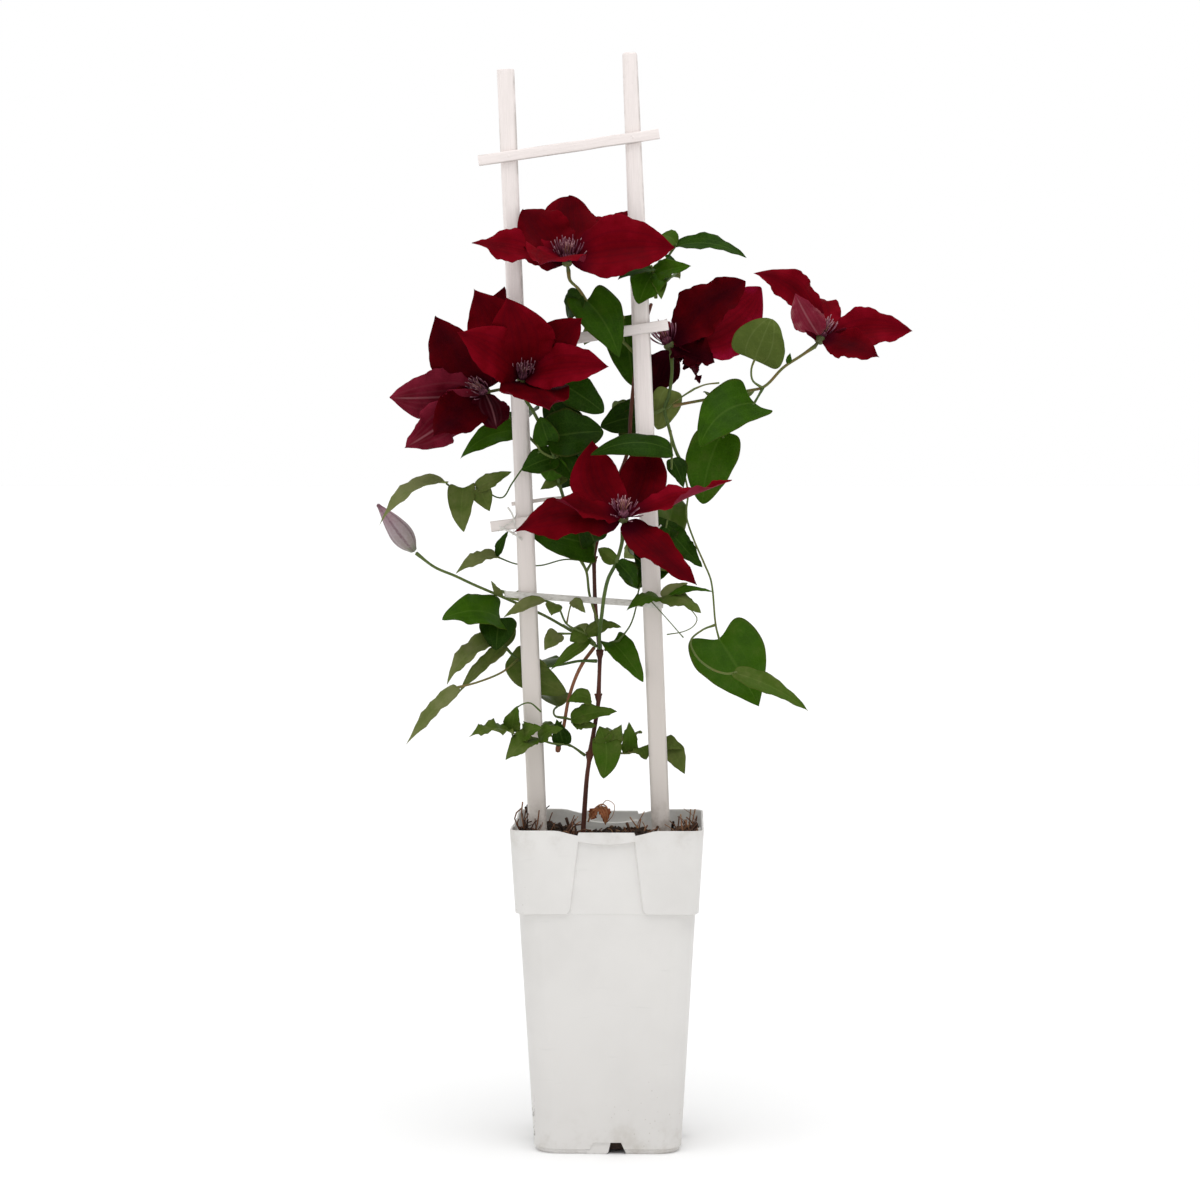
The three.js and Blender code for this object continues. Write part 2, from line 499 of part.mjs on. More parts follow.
const SPRAYS = {
  spray_top: {
    stalks: [
      [[[32, -9, 578], [32, -14, 585], [31, -24, 592], [29, -31, 598]], 0.9],
      [[[32, -12, 582], [36, -12, 598], [46, -14, 614]], 0.8],
    ],
    leaves: [
      leaf('ovate', [46, -14, 612], [93, -36, 603], [0.1, -0.8, 0.7], 16,
        { rise: 4, bend: -4, fold: 0.25, wave: 1 }),
      leaf('ovate', [46, -14, 613], [33, -8, 619], [0.2, -1, 0.5], 11, { rise: 3, bend: 1.5, fold: 0.2 }),
      leaf('ovate', [38, -28, 588], [56, -46, 597], [0.2, -1, 0.3], 15, { rise: 3, fold: 0.3, wave: 1 }),
      leaf('ovate', [36, -26, 588], [36, -44, 575], [0.3, -1, 0.2], 12, { rise: 2, fold: 0.3 }),
      leaf('heart', [30, -27, 592], [21, -41, 572], [-0.1, -1, 0.3], 27,
        { rise: 4, fold: 0.15, wave: 1, fullness: 0.62 }),
      leaf('ovate', [30, -31, 593], [7, -46, 588], [-0.2, -0.8, 0.6], 15, { rise: 3, fold: 0.3 }),
      leaf('lance', [37, -12, 610], [43, -20, 597], [0.6, -1, 0], 9, { rise: 1, twist: 30 }),
      leaf('ovate', [34, -6, 584], [48, 34, 594], [0.2, 0.8, 0.8], 22, { rise: 4, fold: 0.3, wave: 1 }),
    ],
  },
  spray_upper: {
    stalks: [
      [[[-26, -42, 594.5], [-25, -42, 588], [-19, -40, 582], [-11, -33, 570], [2, -22, 556],
        [10, -14, 548], [17.2, -8, 541]], 1],
      [[[-3, -26, 560], [-12, -34, 572], [-16, -37, 577]], 0.8],
      [[[10, -14, 548], [8, -2, 560], [10, 4, 566]], 0.8],
    ],
    leaves: [
      leaf('heart', [-12, -37, 576], [8, -48, 536], [0.2, -1, 0.3], 31,
        { rise: 4, fold: 0.12, wave: 1.2, bend: -4, fullness: 0.62 }),
      leaf('ovate', [-14, -38, 580], [-27, -26, 564], [-0.5, -0.9, 0.3], 19,
        { rise: 3, fold: 0.2, fullness: 0.65 }),
      leaf('ovate', [10, 3, 572], [17, -2, 518], [0, -1, 0.1], 30,
        { rise: -2, fold: 0.1, wave: 1.2, fullness: 0.7 }),
      leaf('heart', [8, 4, 562], [-18, 38, 548], [-0.3, 0.5, 0.9], 32, { rise: 5, fold: 0.2, wave: 1.4 }),
    ],
  },
  spray_left_high: {
    stalks: [
      [[[-58, -36.5, 518], [-55, -36, 508], [-51, -36, 502], [-44, -37, 489], [-39, -36, 478],
        [-36, -34, 469], [-34, -27, 456], [-31, -20, 444], [-27, -13, 430], [-18, -6, 414],
        [-12.9, -6, 407]], 1.15],
      [[[-36, -34, 469], [-30, -30, 473], [-22, -24, 480], [-25, -19, 495], [-30, -17, 510],
        [-31, -20, 519]], 0.8],
      [[[-36, -34, 469], [-45, -36, 474], [-49, -36, 482]], 0.8],
      [[[-35, -30, 462], [-24, -14, 454], [-20, 4, 450], [-28, 22, 455]], 0.8],
      [[[-28, 22, 455], [-48, 16, 476], [-70, 5, 499], [-80, -4, 509.5]], 1],
      [[[-45, -36, 474], [-52, -34, 469], [-57, -32, 463], [-65, -28, 452], [-71, -20, 443],
        [-77, -15, 443], [-85, -10, 448], [-97, -8, 449], [-105, -8, 448], [-111, -8, 452]], 0.55],
    ],
    leaves: [
      leaf('ovate', [-31, -22, 519], [-3, -22, 500], [0.1, -1, 0.3], 24,
        { rise: 3, fold: 0.15, wave: 1, fullness: 0.6 }),
      leaf('ovate', [-43, -25, 483], [-3, -26, 487], [0, -1, 0.4], 34,
        { rise: 3, fold: 0.2, wave: 1, fullness: 0.62 }),
      leaf('ovate', [-29, -19, 482], [-43, -20, 510], [-0.1, -1, 0.1], 26,
        { rise: 2, fold: 0.15, wave: 1, fullness: 0.65 }),
      leaf('ovate', [-35, -17, 458], [-46, -22, 448], [-0.1, -1, 0.2], 10, { rise: 2, fold: 0.3 }),
      leaf('ovate', [-34, -34, 471], [-58, -35, 461], [-0.2, -1, 0.3], 19,
        { rise: 3, fold: 0.2, wave: 1, fullness: 0.7 }),
      leaf('ovate', [-33, -33, 472], [-23, -34, 455], [0.2, -1, 0.2], 20,
        { rise: 2, fold: 0.2, wave: 1, fullness: 0.7 }),
      leaf('ovate', [-38, -29, 473], [-42, -26, 454], [0, -1, 0.2], 21,
        { rise: 2, fold: 0.15, fullness: 0.7 }),
      leaf('ovate', [-40, -36, 477], [-45, -40, 497], [-0.2, -1, 0.1], 18,
        { rise: 2, fold: 0.2, fullness: 0.7 }),
      leaf('ovate', [-66, 6, 478], [-102, 2, 469], [0, -1, 0.4], 18,
        { rise: 2, bend: 6, fold: 0.2, wave: 1 }),
      leaf('ovate', [-110, -8, 452], [-154, -36, 424], [0.1, -0.35, 1], 16,
        { rise: 11, fold: 0.3, wave: 1 }),
      leaf('heart', [-98, -8, 448], [-98, -20, 419], [-0.1, -1, 0.2], 19,
        { rise: 2, bend: 1.5, fold: 0.2, wave: 1 }),
      leaf('ovate', [-89, -8, 450], [-66, -12, 460], [0, -1, 0.3], 11, { rise: 2, fold: 0.25, wave: 1 }),
      leaf('ovate', [-87, -8, 450], [-81, -14, 433], [0, -1, 0.2], 14, { rise: 2, fold: 0.25 }),
      leaf('heart', [-24, 10, 452], [-30, 46, 480], [-0.2, -0.4, 0.9], 30,
        { rise: 5, fold: 0.2, wave: 1.4 }),
      leaf('ovate', [-62, 9, 492], [-52, 42, 504], [0.1, 0.7, 0.8], 26, { rise: 3, fold: 0.3, wave: 1 }),
    ],
  },
  spray_right_high: {
    stalks: [
      [[[42.6, -4.6, 540.3], [43, -5, 528], [41, -5, 512], [38, -4, 503], [41, -5, 490], [45, -6, 476],
        [50, -8, 465]], 1.15],
      [[[38, -4, 503], [30, -4, 500], [18.2, -7, 505]], 1],
      [[[30, -4, 500], [26, 2, 499], [22, 6, 498]], 0.6],
      [[[42, -5, 488], [43, -12, 472], [43, -30, 462], [43, -40, 474]], 0.7],
      [[[39, -4, 503], [50, -12, 511], [58, -14, 516]], 0.6],
      [[[58, -14, 516], [66, -16, 519], [75, -18, 520]], 0.5],
      [[[30, -4, 500], [28, 8, 496], [24, 20, 500]], 0.8],
    ],
    leaves: [
      leaf('ovate', [45, -2, 515], [33, 8, 489], [0.1, 1, 0.2], 21,
        { rise: -2, fold: 0.15, wave: 1, fullness: 0.6 }),
      leaf('heart', [21, 6, 508], [-6, 8, 491], [-0.1, -1, 0.3], 25,
        { rise: 3, fold: 0.15, wave: 1, fullness: 0.62 }),
      leaf('ovate', [21, 6, 503], [7, 8, 483], [0, -1, 0.2], 20, { rise: 2, fold: 0.2, fullness: 0.7 }),
      leaf('ovate', [45, -42, 479], [-11, -52, 471], [0.1, -0.85, 0.7], 21,
        { rise: 11, fold: -0.2, wave: 0.8, fullness: 0.75 }),
      leaf('ovate', [42, -12, 466], [51, -20, 449], [0.4, -1, 0.2], 14, { rise: 2, fold: 0.2 }),
      leaf('heart', [24, 20, 500], [4, 56, 488], [0, 0.5, 0.9], 38, { rise: 5, fold: 0.2, wave: 1.5 }),
      leaf('ovate', [28, 8, 496], [46, 36, 504], [0.2, 0.6, 0.8], 22, { rise: 4, fold: 0.3, wave: 1.2 }),
    ],
  },
  spray_far_right: {
    stalks: [
      [[[140.4, 4.8, 545.4], [131, 4, 539], [119, 2, 531], [106, 0, 518], [94, 2, 515], [76, 4, 511],
        [60, 0, 508], [50, -6, 506], [44, -8, 504.6]], 1],
      [[[105, 0, 517], [101, -6, 510], [98, -12, 505]], 0.8],
      [[[105, 0, 517], [98, -5, 522], [97, -9, 530], [100, -12, 538]], 0.7],
      [[[76, 4, 511], [77, 1, 497], [78, -5, 483]], 0.7],
    ],
    leaves: [
      leaf('heart', [99, -13, 508], [62, -32, 477], [-0.1, -1, 0.3], 36,
        { rise: 5, fold: 0.1, wave: 1.5, bend: 7, fullness: 0.6 }),
      leaf('ovate', [78, -2, 486], [64, -6, 438], [0, -1, 0.15], 35,
        { rise: 4, fold: 0.12, wave: 1.2, bend: 3, fullness: 0.6 }),
      leaf('ovate', [101, -12, 536], [110, -22, 563], [0.1, 1, -0.1], 38,
        { rise: -3, fold: -0.1, wave: 1, fullness: 0.5 }),
      leaf('lance', [123, 2, 531], [123.5, -1, 541], [0, -1, 0], 4, { rise: 0 }),
      leaf('ovate', [76, 4, 511], [84, 42, 494], [0.2, 0.5, 0.9], 30, { rise: 5, fold: 0.2, wave: 1.5 }),
      leaf('ovate', [94, 3, 515], [72, 36, 500], [0.1, 0.5, 0.9], 22, { rise: 4, fold: 0.3, wave: 1 }),
    ],
  },
  spray_centre: {
    stalks: [
      [[[11, -59, 422], [10, -61, 412], [6, -60, 399], [1, -56, 389], [-2, -48, 377], [-4, -38, 363],
        [-6, -24, 350], [-6, -12.2, 340]], 1.3],
      [[[-5, -28, 354], [-9, -20, 364], [-13, -16, 377], [-15, -15, 392], [-19, -14, 400]], 0.9],
      [[[-15, -15, 392], [-11, -15, 400], [-9.5, -15, 412]], 0.7],
      [[[-19, -14, 400], [-31, -9, 400], [-47, -9, 396], [-63, -9, 397], [-76, -12, 402]], 0.5],
    ],
    leaves: [
      leaf('heart', [-18, -15, 410], [-54, -12, 419], [-0.1, -1, 0.35], 29,
        { rise: 3, fold: 0.15, wave: 1.6, fullness: 0.65 }),
      leaf('ovate', [-9, -15, 413], [-17, -30, 430], [0.1, -1, 0.1], 21, { rise: 2, fold: 0.2 }),
      leaf('ovate', [8, -58, 400], [-6, -50, 409], [-0.3, -1, 0.2], 10, { rise: 2, fold: 0.3 }),
      leaf('ovate', [10, -59, 399], [21, -46, 382], [0.4, -1, 0.1], 13,
        { rise: 3, fold: 0.5, hook: 4, wave: 1.5 }),
      leaf('lance', [-75, -12, 403], [-68, -16, 420], [-0.5, -1, 0], 7, { rise: 2, fold: 0.3 }),
      leaf('ovate', [-75, -12, 402], [-103, -30, 391], [-0.2, -0.7, 0.6], 12,
        { rise: 5, fold: 0.4, wave: 1, twist: 15 }),
    ],
  },
  spray_bud: {
    stalks: [
      [[[-131.5, -10, 404.5], [-119, -10, 395], [-105, -10, 389], [-92, -11, 383], [-78, -11, 377],
        [-62, -10, 370], [-44, -10, 362], [-26, -13, 352], [-8, -12.7, 341]], 0.95],
      [[[-78, -11, 377], [-72, 4, 374], [-66, 16, 376]], 0.6],
    ],
    leaves: [
      leaf('lance', [-72, -12, 375], [-80, -17, 386], [-0.4, -1, 0.2], 5, { rise: 1 }),
      leaf('ovate', [-66, 16, 376], [-60, 48, 366], [-0.1, 0.5, 0.9], 28,
        { rise: 4, fold: 0.2, wave: 1.4 }),
      leaf('ovate', [-26, -13, 352], [-16, 24, 340], [0.2, 0.7, 0.7], 20,
        { rise: 4, fold: 0.3, wave: 1 }),
    ],
  },
  spray_left: {
    stalks: [
      [[[-8, -12.7, 331], [-20, -12.8, 331], [-34, -9, 328], [-47, -9, 327], [-62, -10, 332],
        [-72, -13, 342]], 0.95],
      [[[-62, -10, 332], [-72, -22, 324], [-88, -36, 318], [-101, -42, 315]], 0.7],
      [[[-72, -13, 342], [-76, -13, 352], [-74, -13, 360]], 0.8],
    ],
    leaves: [
      leaf('ovate', [-69, -10, 334], [-29, -6, 308], [-0.1, -1, 0.2], 24,
        { rise: 0, bend: 3, fold: 0.1, wave: 1.5, fullness: 0.65 }),
      leaf('ovate', [-81, -14, 344], [-108, -42, 317], [-0.3, -1, 0.5], 16,
        { rise: 4, bend: 5, fold: 0.3, wave: 2 }),
      leaf('ovate', [-102, -42, 319], [-134, -60, 278], [-0.3, -1, 0.4], 11,
        { rise: 3, fold: 0.3, wave: 1.2 }),
      leaf('ovate', [-75, -14, 337], [-101, -32, 310], [-0.2, -1, 0.2], 10,
        { rise: 2, bend: 2, fold: 0.3, wave: 1.5 }),
      leaf('ovate', [-69, -13, 359], [-76, -24, 339], [-0.1, -1, 0.2], 26,
        { rise: 3, fold: 0.2, wave: 1.2, fullness: 0.65 }),
      leaf('heart', [-72, -13, 361], [-111, -44, 361], [-0.1, -0.9, 0.5], 29,
        { rise: 5, bend: 3, fold: 0.12, wave: 1.6, fullness: 0.65 }),
      leaf('ovate', [-40, -7, 327], [-56, 38, 322], [-0.2, 0.6, 0.8], 32,
        { rise: 5, fold: 0.2, wave: 1.6 }),
      leaf('ovate', [-72, -11, 341], [-84, 24, 352], [-0.4, 0.5, 0.9], 24,
        { rise: 4, fold: 0.3, wave: 1.2 }),
    ],
  },
  spray_mid: {
    stalks: [
      [[[-9, -15.2, 343], [-16, -19, 350], [-28, -25, 357], [-34, -29, 369], [-42, -31, 373]], 0.7],
      [[[-16, -19, 350], [-26, -19, 350], [-34, -18, 350]], 0.7],
      [[[-28, -25, 357], [-26, -27, 367], [-24, -28, 373]], 0.45],
    ],
    leaves: [
      leaf('lance', [-42, -31, 373], [-70, -38, 362], [-0.1, -0.8, 0.7], 11, { rise: 3, fold: 0.4 }),
      leaf('ovate', [-32, -30, 374], [-38, -34, 363], [0, -1, 0.2], 12, { rise: 1.5, fold: 0.3 }),
      leaf('ovate', [-24, -28, 374], [-15, -33, 365], [0.1, -1, 0.3], 8, { rise: 1.5, fold: 0.3 }),
      leaf('ovate', [-34, -19, 353], [-43, -26, 339], [-0.1, -1, 0.3], 13, { rise: 2, fold: 0.3 }),
      leaf('ovate', [-16, -19, 350], [-26, -22, 345], [-0.1, -1, 0.4], 12,
        { rise: 1.5, fold: 0.2, fullness: 0.7 }),
      leaf('ovate', [-13, -15, 352], [9, -13, 354], [0.1, -0.9, 0.6], 11,
        { rise: 4, bend: -3, fold: -0.15, wave: 1 }),
      leaf('lance', [-8, -18, 350], [-39, -34, 326], [0, -1, 0.4], 9, { rise: 3, fold: 0.3 }),
    ],
  },
  spray_right: {
    stalks: [
      [[[-2.2, -9, 338], [0, -12, 343], [7, -16, 345]], 0.7],
      [[[7, -16, 345], [15, -16, 356], [19, -13, 369], [21, -11, 381], [28, -9, 394], [36, -8, 409],
        [40, -8, 427]], 0.55],
      [[[19, -13, 369], [20, -27, 377], [27, -29, 375], [37, -29, 375]], 0.5],
      [[[27, -29, 375], [38, -30, 363], [51, -27, 348]], 0.35],
      [[[37, -29, 375], [51, -36, 371], [60, -34, 362], [58, -30, 356], [51, -27, 352],
        [40, -27, 350]], 0.35],
    ],
    leaves: [
      leaf('ovate', [35, -29, 375], [13, -46, 367], [0, -0.7, 0.8], 12,
        { rise: 6, fold: -0.2, wave: 1, fullness: 0.75 }),
      leaf('ovate', [37, -29, 375], [63, -40, 365], [0.1, -0.7, 0.8], 15,
        { rise: 6, fold: -0.2, wave: 1, fullness: 0.75 }),
      leaf('ovate', [37, -29, 376], [54, -28, 385], [0.1, -0.9, 0.5], 11, { rise: 1, fold: 0.2 }),
      leaf('lance', [41, -29, 376], [72, -34, 379], [0, -0.7, 0.9], 7, { rise: 5, fold: 0.3 }),
      leaf('ovate', [43, -8, 435], [35, -12, 412], [0.2, -1, 0.2], 20,
        { rise: -2, fold: 0.15, wave: 1, fullness: 0.65 }),
      leaf('ovate', [36, -8, 424], [64, -14, 395], [0.2, -1, 0.2], 16,
        { rise: -2, fold: 0.15, wave: 2, ripples: 3 }),
      leaf('ovate', [30, -9, 396], [19, -14, 414], [0, -1, 0.1], 18, { rise: 0, fold: 0.2 }),
      leaf('heart', [2, -14, 343], [24, -32, 318], [0.2, -1, 0.5], 19, { rise: 3, fold: 0.3, wave: 1 }),
      leaf('ovate', [21, -11, 381], [34, 36, 398], [0.2, 0.5, 0.9], 32,
        { rise: 5, fold: 0.2, wave: 1.4 }),
      leaf('heart', [28, -9, 394], [10, 38, 400], [0.1, 0.6, 0.8], 32, { rise: 5, fold: 0.2, wave: 1.4 }),
      leaf('ovate', [38, -8, 417], [44, 36, 446], [0.3, 0.6, 0.8], 24, { rise: 4, fold: 0.3, wave: 1.2 }),
    ],
  },
  spray_hanging: {
    stalks: [
      [[[50.6, -8.6, 462], [54, -12, 446], [53, -14, 430], [58, -14, 414], [65, -14, 398],
        [70, -14, 385], [73, -14, 356], [76, -15, 344]], 0.65],
      [[[73, -14, 356], [64, -24, 353], [56, -35, 346], [60, -42, 336], [70, -46, 328], [80, -49, 325],
        [87, -50, 326]], 0.7],
    ],
    leaves: [
      leaf('heart', [75, -16, 346], [102, -36, 302], [0.1, -1, 0.3], 50,
        { rise: 4, fold: 0.08, wave: 1.4, fullness: 0.8 }),
      leaf('ovate', [84, -50, 327], [134, -58, 301], [0.1, -0.9, 0.6], 15,
        { rise: 3, bend: -2, fold: 0.2, wave: 1 }),
    ],
  },
  spray_low_left: {
    stalks: [
      [[[-16.2, -8, 266], [-26, -12, 273], [-38, -28, 276], [-50, -32, 280], [-64, -34, 281]], 0.8],
      [[[-64, -34, 281], [-66, -31, 290], [-62, -31, 300], [-53, -33, 304], [-45, -34, 298]], 0.5],
      [[[-26, -12, 273], [-36, 2, 276], [-44, 14, 280]], 0.7],
    ],
    leaves: [
      leaf('ovate', [-67, -34, 283], [-92, -58, 283], [-0.1, -0.6, 0.9], 17,
        { rise: 5, fold: 0.2, wave: 2.2, ripples: 3 }),
      leaf('ovate', [-63, -32, 285], [-61, -35, 302], [-0.2, -1, 0.1], 12,
        { rise: 1.5, fold: 0.3, wave: 1 }),
      leaf('ovate', [-50, -32, 281], [-68, -52, 267], [-0.1, -1, 0.6], 17,
        { rise: 3, fold: 0.3, wave: 1.2 }),
      leaf('ovate', [-58, -33, 280], [-44, -40, 288], [0, -0.8, 0.6], 14,
        { rise: 3, fold: 0.2, wave: 1.4 }),
      leaf('ovate', [-46, -30, 278], [-30, -36, 287], [0.1, -0.8, 0.7], 13,
        { rise: 3, fold: 0.2, wave: 1.4 }),
      leaf('ovate', [-28, -18, 275], [-35, -23, 292], [0, -1, 0], 13, { rise: 2, fold: 0.3 }),
      leaf('heart', [-44, 14, 280], [-58, 44, 276], [-0.3, 0.5, 0.9], 26,
        { rise: 4, fold: 0.2, wave: 1.6 }),
    ],
  },
  spray_low_centre: {
    stalks: [
      [[[-29.4, -12.4, 292], [-24, -14, 291], [-14, -16, 294], [-12, -15, 304]], 0.6],
      [[[-29.4, -12.4, 292], [-36, -12, 293], [-38, 0, 296], [-36, 12, 298]], 0.7],
    ],
    leaves: [
      leaf('ovate', [-24, -14, 287], [6, -19, 297], [0, -0.9, 0.6], 14,
        { rise: 4, fold: 0.2, wave: 1.6 }),
      leaf('ovate', [-22, -14, 286], [-8, -19, 287], [0, -1, 0.5], 10,
        { rise: 2, bend: 2, fold: 0.2, wave: 1.4 }),
      leaf('ovate', [-8, -15, 309], [-28, -17, 303], [0, -1, 0.4], 12,
        { rise: 3, bend: 3, fold: 0.2, wave: 1 }),
      leaf('ovate', [-36, 12, 298], [-50, 40, 302], [-0.3, 0.6, 0.8], 24,
        { rise: 4, fold: 0.3, wave: 1.2 }),
    ],
  },
  spray_low_right: {
    stalks: [
      [[[-9.6, -7, 265], [0, -10, 268], [14, -12, 268], [24, -10, 272], [34, 0, 274], [42, 4, 274]], 0.7],
      [[[0, -10, 268], [0, -16, 273], [-2, -18, 276]], 0.7],
      [[[14, -12, 268], [12, 4, 272], [8, 16, 276]], 0.7],
    ],
    leaves: [
      leaf('heart', [1, -19, 277], [-3, -26, 252], [0, -1, 0.15], 20,
        { rise: 2, bend: -1.5, fold: 0.15, fullness: 0.65 }),
      leaf('ovate', [-2, -15, 277], [-6, -18, 287], [0, -1, 0.1], 13, { rise: 2, fold: 0.3, wave: 1 }),
      leaf('ovate', [3, -12, 276], [9, -17, 288], [0.2, -1, 0.1], 12, { rise: 2, fold: 0.3, wave: 1 }),
      leaf('ovate', [12, -12, 276], [14, -18, 290], [0.2, -1, 0.1], 12,
        { rise: 2, fold: 0.3, wave: 1.4 }),
      leaf('ovate', [21, -11, 280], [26, -15, 264], [0.2, -1, 0.2], 15, { rise: 2, fold: 0.3, wave: 1 }),
      leaf('ovate', [37, 2, 280], [50, -2, 270], [0.2, -1, 0.4], 11, { rise: 2, fold: 0.3 }),
      leaf('ovate', [39, 3, 278], [52, -4, 253], [0.2, -1, 0.2], 15, { rise: 2, fold: 0.2 }),
      leaf('heart', [8, 16, 276], [12, 48, 270], [0.1, 0.5, 0.9], 28, { rise: 4, fold: 0.2, wave: 1.6 }),
    ],
  },
};

// A leaf starts inside the nearest stalk.
function rooted(spec, stalks) {
  const near = stalks.flatMap(([points]) => points.slice(1).flatMap((end, i) => (
    [0, 0.125, 0.25, 0.375, 0.5, 0.625, 0.75, 0.875, 1].map((t) => vec(points[i]).lerp(vec(end), t)))));
  const start = vec(spec.from);
  const foot = near.reduce((best, p) => (p.distanceTo(start) < best.distanceTo(start) ? p : best));
  const back = foot.clone().sub(vec(spec.to)).setLength(ROOT);
  return { ...spec, from: foot.add(back).toArray() };
}

function makeSpray({ stalks, leaves }) {
  return oneBody(join([
    ...stalks.map(([points, radius]) => stalk(points, radius)),
    ...leaves.map((spec) => blade(rooted(spec, stalks))),
  ]));
}

// ---------------------------------------------------------------- blooms and bud

const petal = (to, face, width, form = {}) => ({ kind: 'petal', to, face, width, ...form });

const BLOOMS = {
  top: {
    heart: [-27, -42, 600], axis: [0.05, -0.45, 0.9],
    petals: [
      petal([-90, -54, 612], [0.1, -0.75, 0.7], 30, { rise: 4, fold: 0.15, wave: 3 }),
      petal([45, -50, 609], [0, -1, 0.45], 46, { rise: 8, fold: 0.2, wave: 2.5 }),
      petal([-57, -30, 636], [0.3, -1, 0.4], 38,
        { rise: 2, fullness: 0.6, point: 0.1, fold: 0.15, wave: 2.5 }),
      petal([-28, -4, 647], [0, -0.9, 0.5], 42,
        { rise: -2, fold: 0.1, wave: 1.5, fullness: 0.55, point: 0 }),
      petal([15, 8, 638], [-0.2, -0.9, 0.6], 30, { rise: 2, fold: 0.2, wave: 3, ripples: 3 }),
      petal([-43, -102, 594], [0.1, -0.5, 0.9], 40, { rise: 4, fold: 0.2, wave: 2.5 }),
    ],
  },
  front_left: {
    heart: [-57, -42, 522], axis: [0.1, -0.7, 0.7],
    petals: [
      petal([-89, -50, 582], [0.2, -0.9, 0.3], 42, { rise: 3, fold: 0.1, wave: 2.5 }),
      petal([-66, -66, 575], [0.1, -1, 0.1], 46, { rise: 7, bend: 3, fold: 0.1, wave: 2 }),
      petal([-16, -60, 562], [-0.2, -1, 0.3], 36, { rise: 1, fold: 0.15, wave: 2 }),
      petal([2, -78, 529], [0, -0.9, 0.5], 34, { rise: 6, fold: 0.15, wave: 2 }),
      petal([-36, -98, 500], [0.2, -0.7, 0.8], 46, { rise: 2, fold: 0.1, wave: 2, widest: 0.8 }),
      petal([-97, -78, 552], [0.2, -1, 0.3], 36, { rise: 8, fold: 0.1, wave: 2 }),
    ],
  },
  back_left: {
    heart: [-84, -8, 514], axis: [-0.5, -0.7, 0.35],
    petals: [
      petal([-116, -34, 565], [-0.5, -0.9, 0.2], 42, { rise: 5, fold: 0.2, wave: 2 }),
      petal([-71, -6, 586], [-0.2, -1, 0], 38, { rise: -2, fold: 0.15, wave: 2 }),
      petal([-148, -24, 510], [0.1, 1, 0.35], 40, { rise: -4, fold: 0.15, wave: 2.5 }),
      petal([-136, -44, 476], [-0.3, 0.9, 0.5], 32,
        { rise: -3, fold: 0.25, wave: 4, ripples: 3, twist: -25 }),
      petal([-116, -52, 484], [0.2, -0.8, 0.5], 34, { rise: 2, fold: 0.2, wave: 2.5 }),
      petal([-75, -30, 489], [-0.4, 0.9, 0.1], 28, { rise: -2, fold: 0.15, wave: 2 }),
    ],
  },
  centre: {
    heart: [11, -60, 429], axis: [0.05, -0.45, 0.9],
    petals: [
      petal([-61, -78, 420], [0, -0.6, 0.85], 34, { rise: 12, fold: -0.3, wave: 3, twist: 20 }),
      petal([-10, -40, 481], [0.1, -1, 0.3], 34,
        { rise: -2, fold: 0.2, wave: 1.5, fullness: 0.65, bend: -9 }),
      petal([27, -30, 483], [0, -1, 0.3], 32, { rise: -2, fold: 0.2, wave: 2, fullness: 0.65, bend: 5 }),
      petal([83, -72, 455], [-0.2, -0.8, 0.8], 26, { rise: -2, fold: 0.35, wave: 2.5, twist: 50 }),
      petal([60, -96, 386], [0.2, -1, 0.6], 25,
        { rise: 6, fold: 0.12, wave: 2.5, widest: 0.7, fullness: 0.6, bend: 3 }),
      petal([-32, -100, 442], [0.3, -0.6, 0.8], 24, { rise: -2, fold: 0.2, wave: 2 }),
    ],
  },
  right: {
    heart: [41, -4, 546], axis: [-0.45, -0.1, 0.85],
    petals: [
      petal([93, -10, 589], [-0.4, -0.8, 0.4], 40,
        { rise: 3, fold: 0.15, wave: 3, fullness: 0.62, point: 0.15, bend: -3 }),
      petal([104, 10, 586], [-0.3, -0.9, 0.4], 48,
        { rise: -7, fold: 0.05, wave: 2.5, fullness: 0.6, point: 0.15, bend: 9 }),
      petal([72, -12, 534], [0.2, -0.9, 0.5], 26, { rise: 3, fold: 0.2, wave: 3.5, ripples: 3 }),
      petal([62, -8, 520], [0.5, -0.8, 0.1], 22, { rise: 4, fold: 0.4, wave: 4, ripples: 3, twist: 60 }),
      petal([29, 12, 513], [0.1, -1, 0], 26, { rise: -4, fold: 0.15, wave: 2.5 }),
      petal([70, 54, 562], [0, 0.2, 0.95], 36, { rise: 6, fold: 0.2, wave: 2.5 }),
    ],
  },
  far_right: {
    heart: [144, 6, 550], axis: [0.3, 0.4, 0.85],
    petals: [
      petal([98, -16, 594], [0.4, -0.85, 0.3], 27,
        { rise: 4, fold: 0.1, wave: 3, bend: 13, fullness: 0.62, point: 0.3 }),
      petal([126, -22, 580], [0.2, 0.9, 0.3], 22, { rise: -2, fold: -0.15, wave: 1.5 }),
      petal([207, 4, 556], [-0.1, -0.9, 0.4], 30, { rise: 0, fold: 0.2, wave: 3, bend: -5, point: 0.6 }),
      petal([183, -20, 537], [-0.1, -0.8, 0.6], 25, { rise: 2, fold: 0.15, wave: 2.5, point: 0.6 }),
      petal([140, 52, 584], [0.1, -0.6, 0.8], 34, { rise: 4, fold: 0.2, wave: 2.5 }),
      petal([192, 46, 562], [-0.1, -0.2, 1], 32, { rise: 3, fold: 0.2, wave: 2.5 }),
    ],
  },
};
const RECEPTACLE = 5;
const CLAW = 2.4; // how far from the flower's heart a petal starts
const LAYER = 1.6; // half the step between the outer and the inner petals
const BOSS = { radius: 4.6, lift: 8, filaments: 7, length: 12, spread: 0.95, thickness: 1.5 };
const GOLDEN_ANGLE = Math.PI * (3 - Math.sqrt(5));

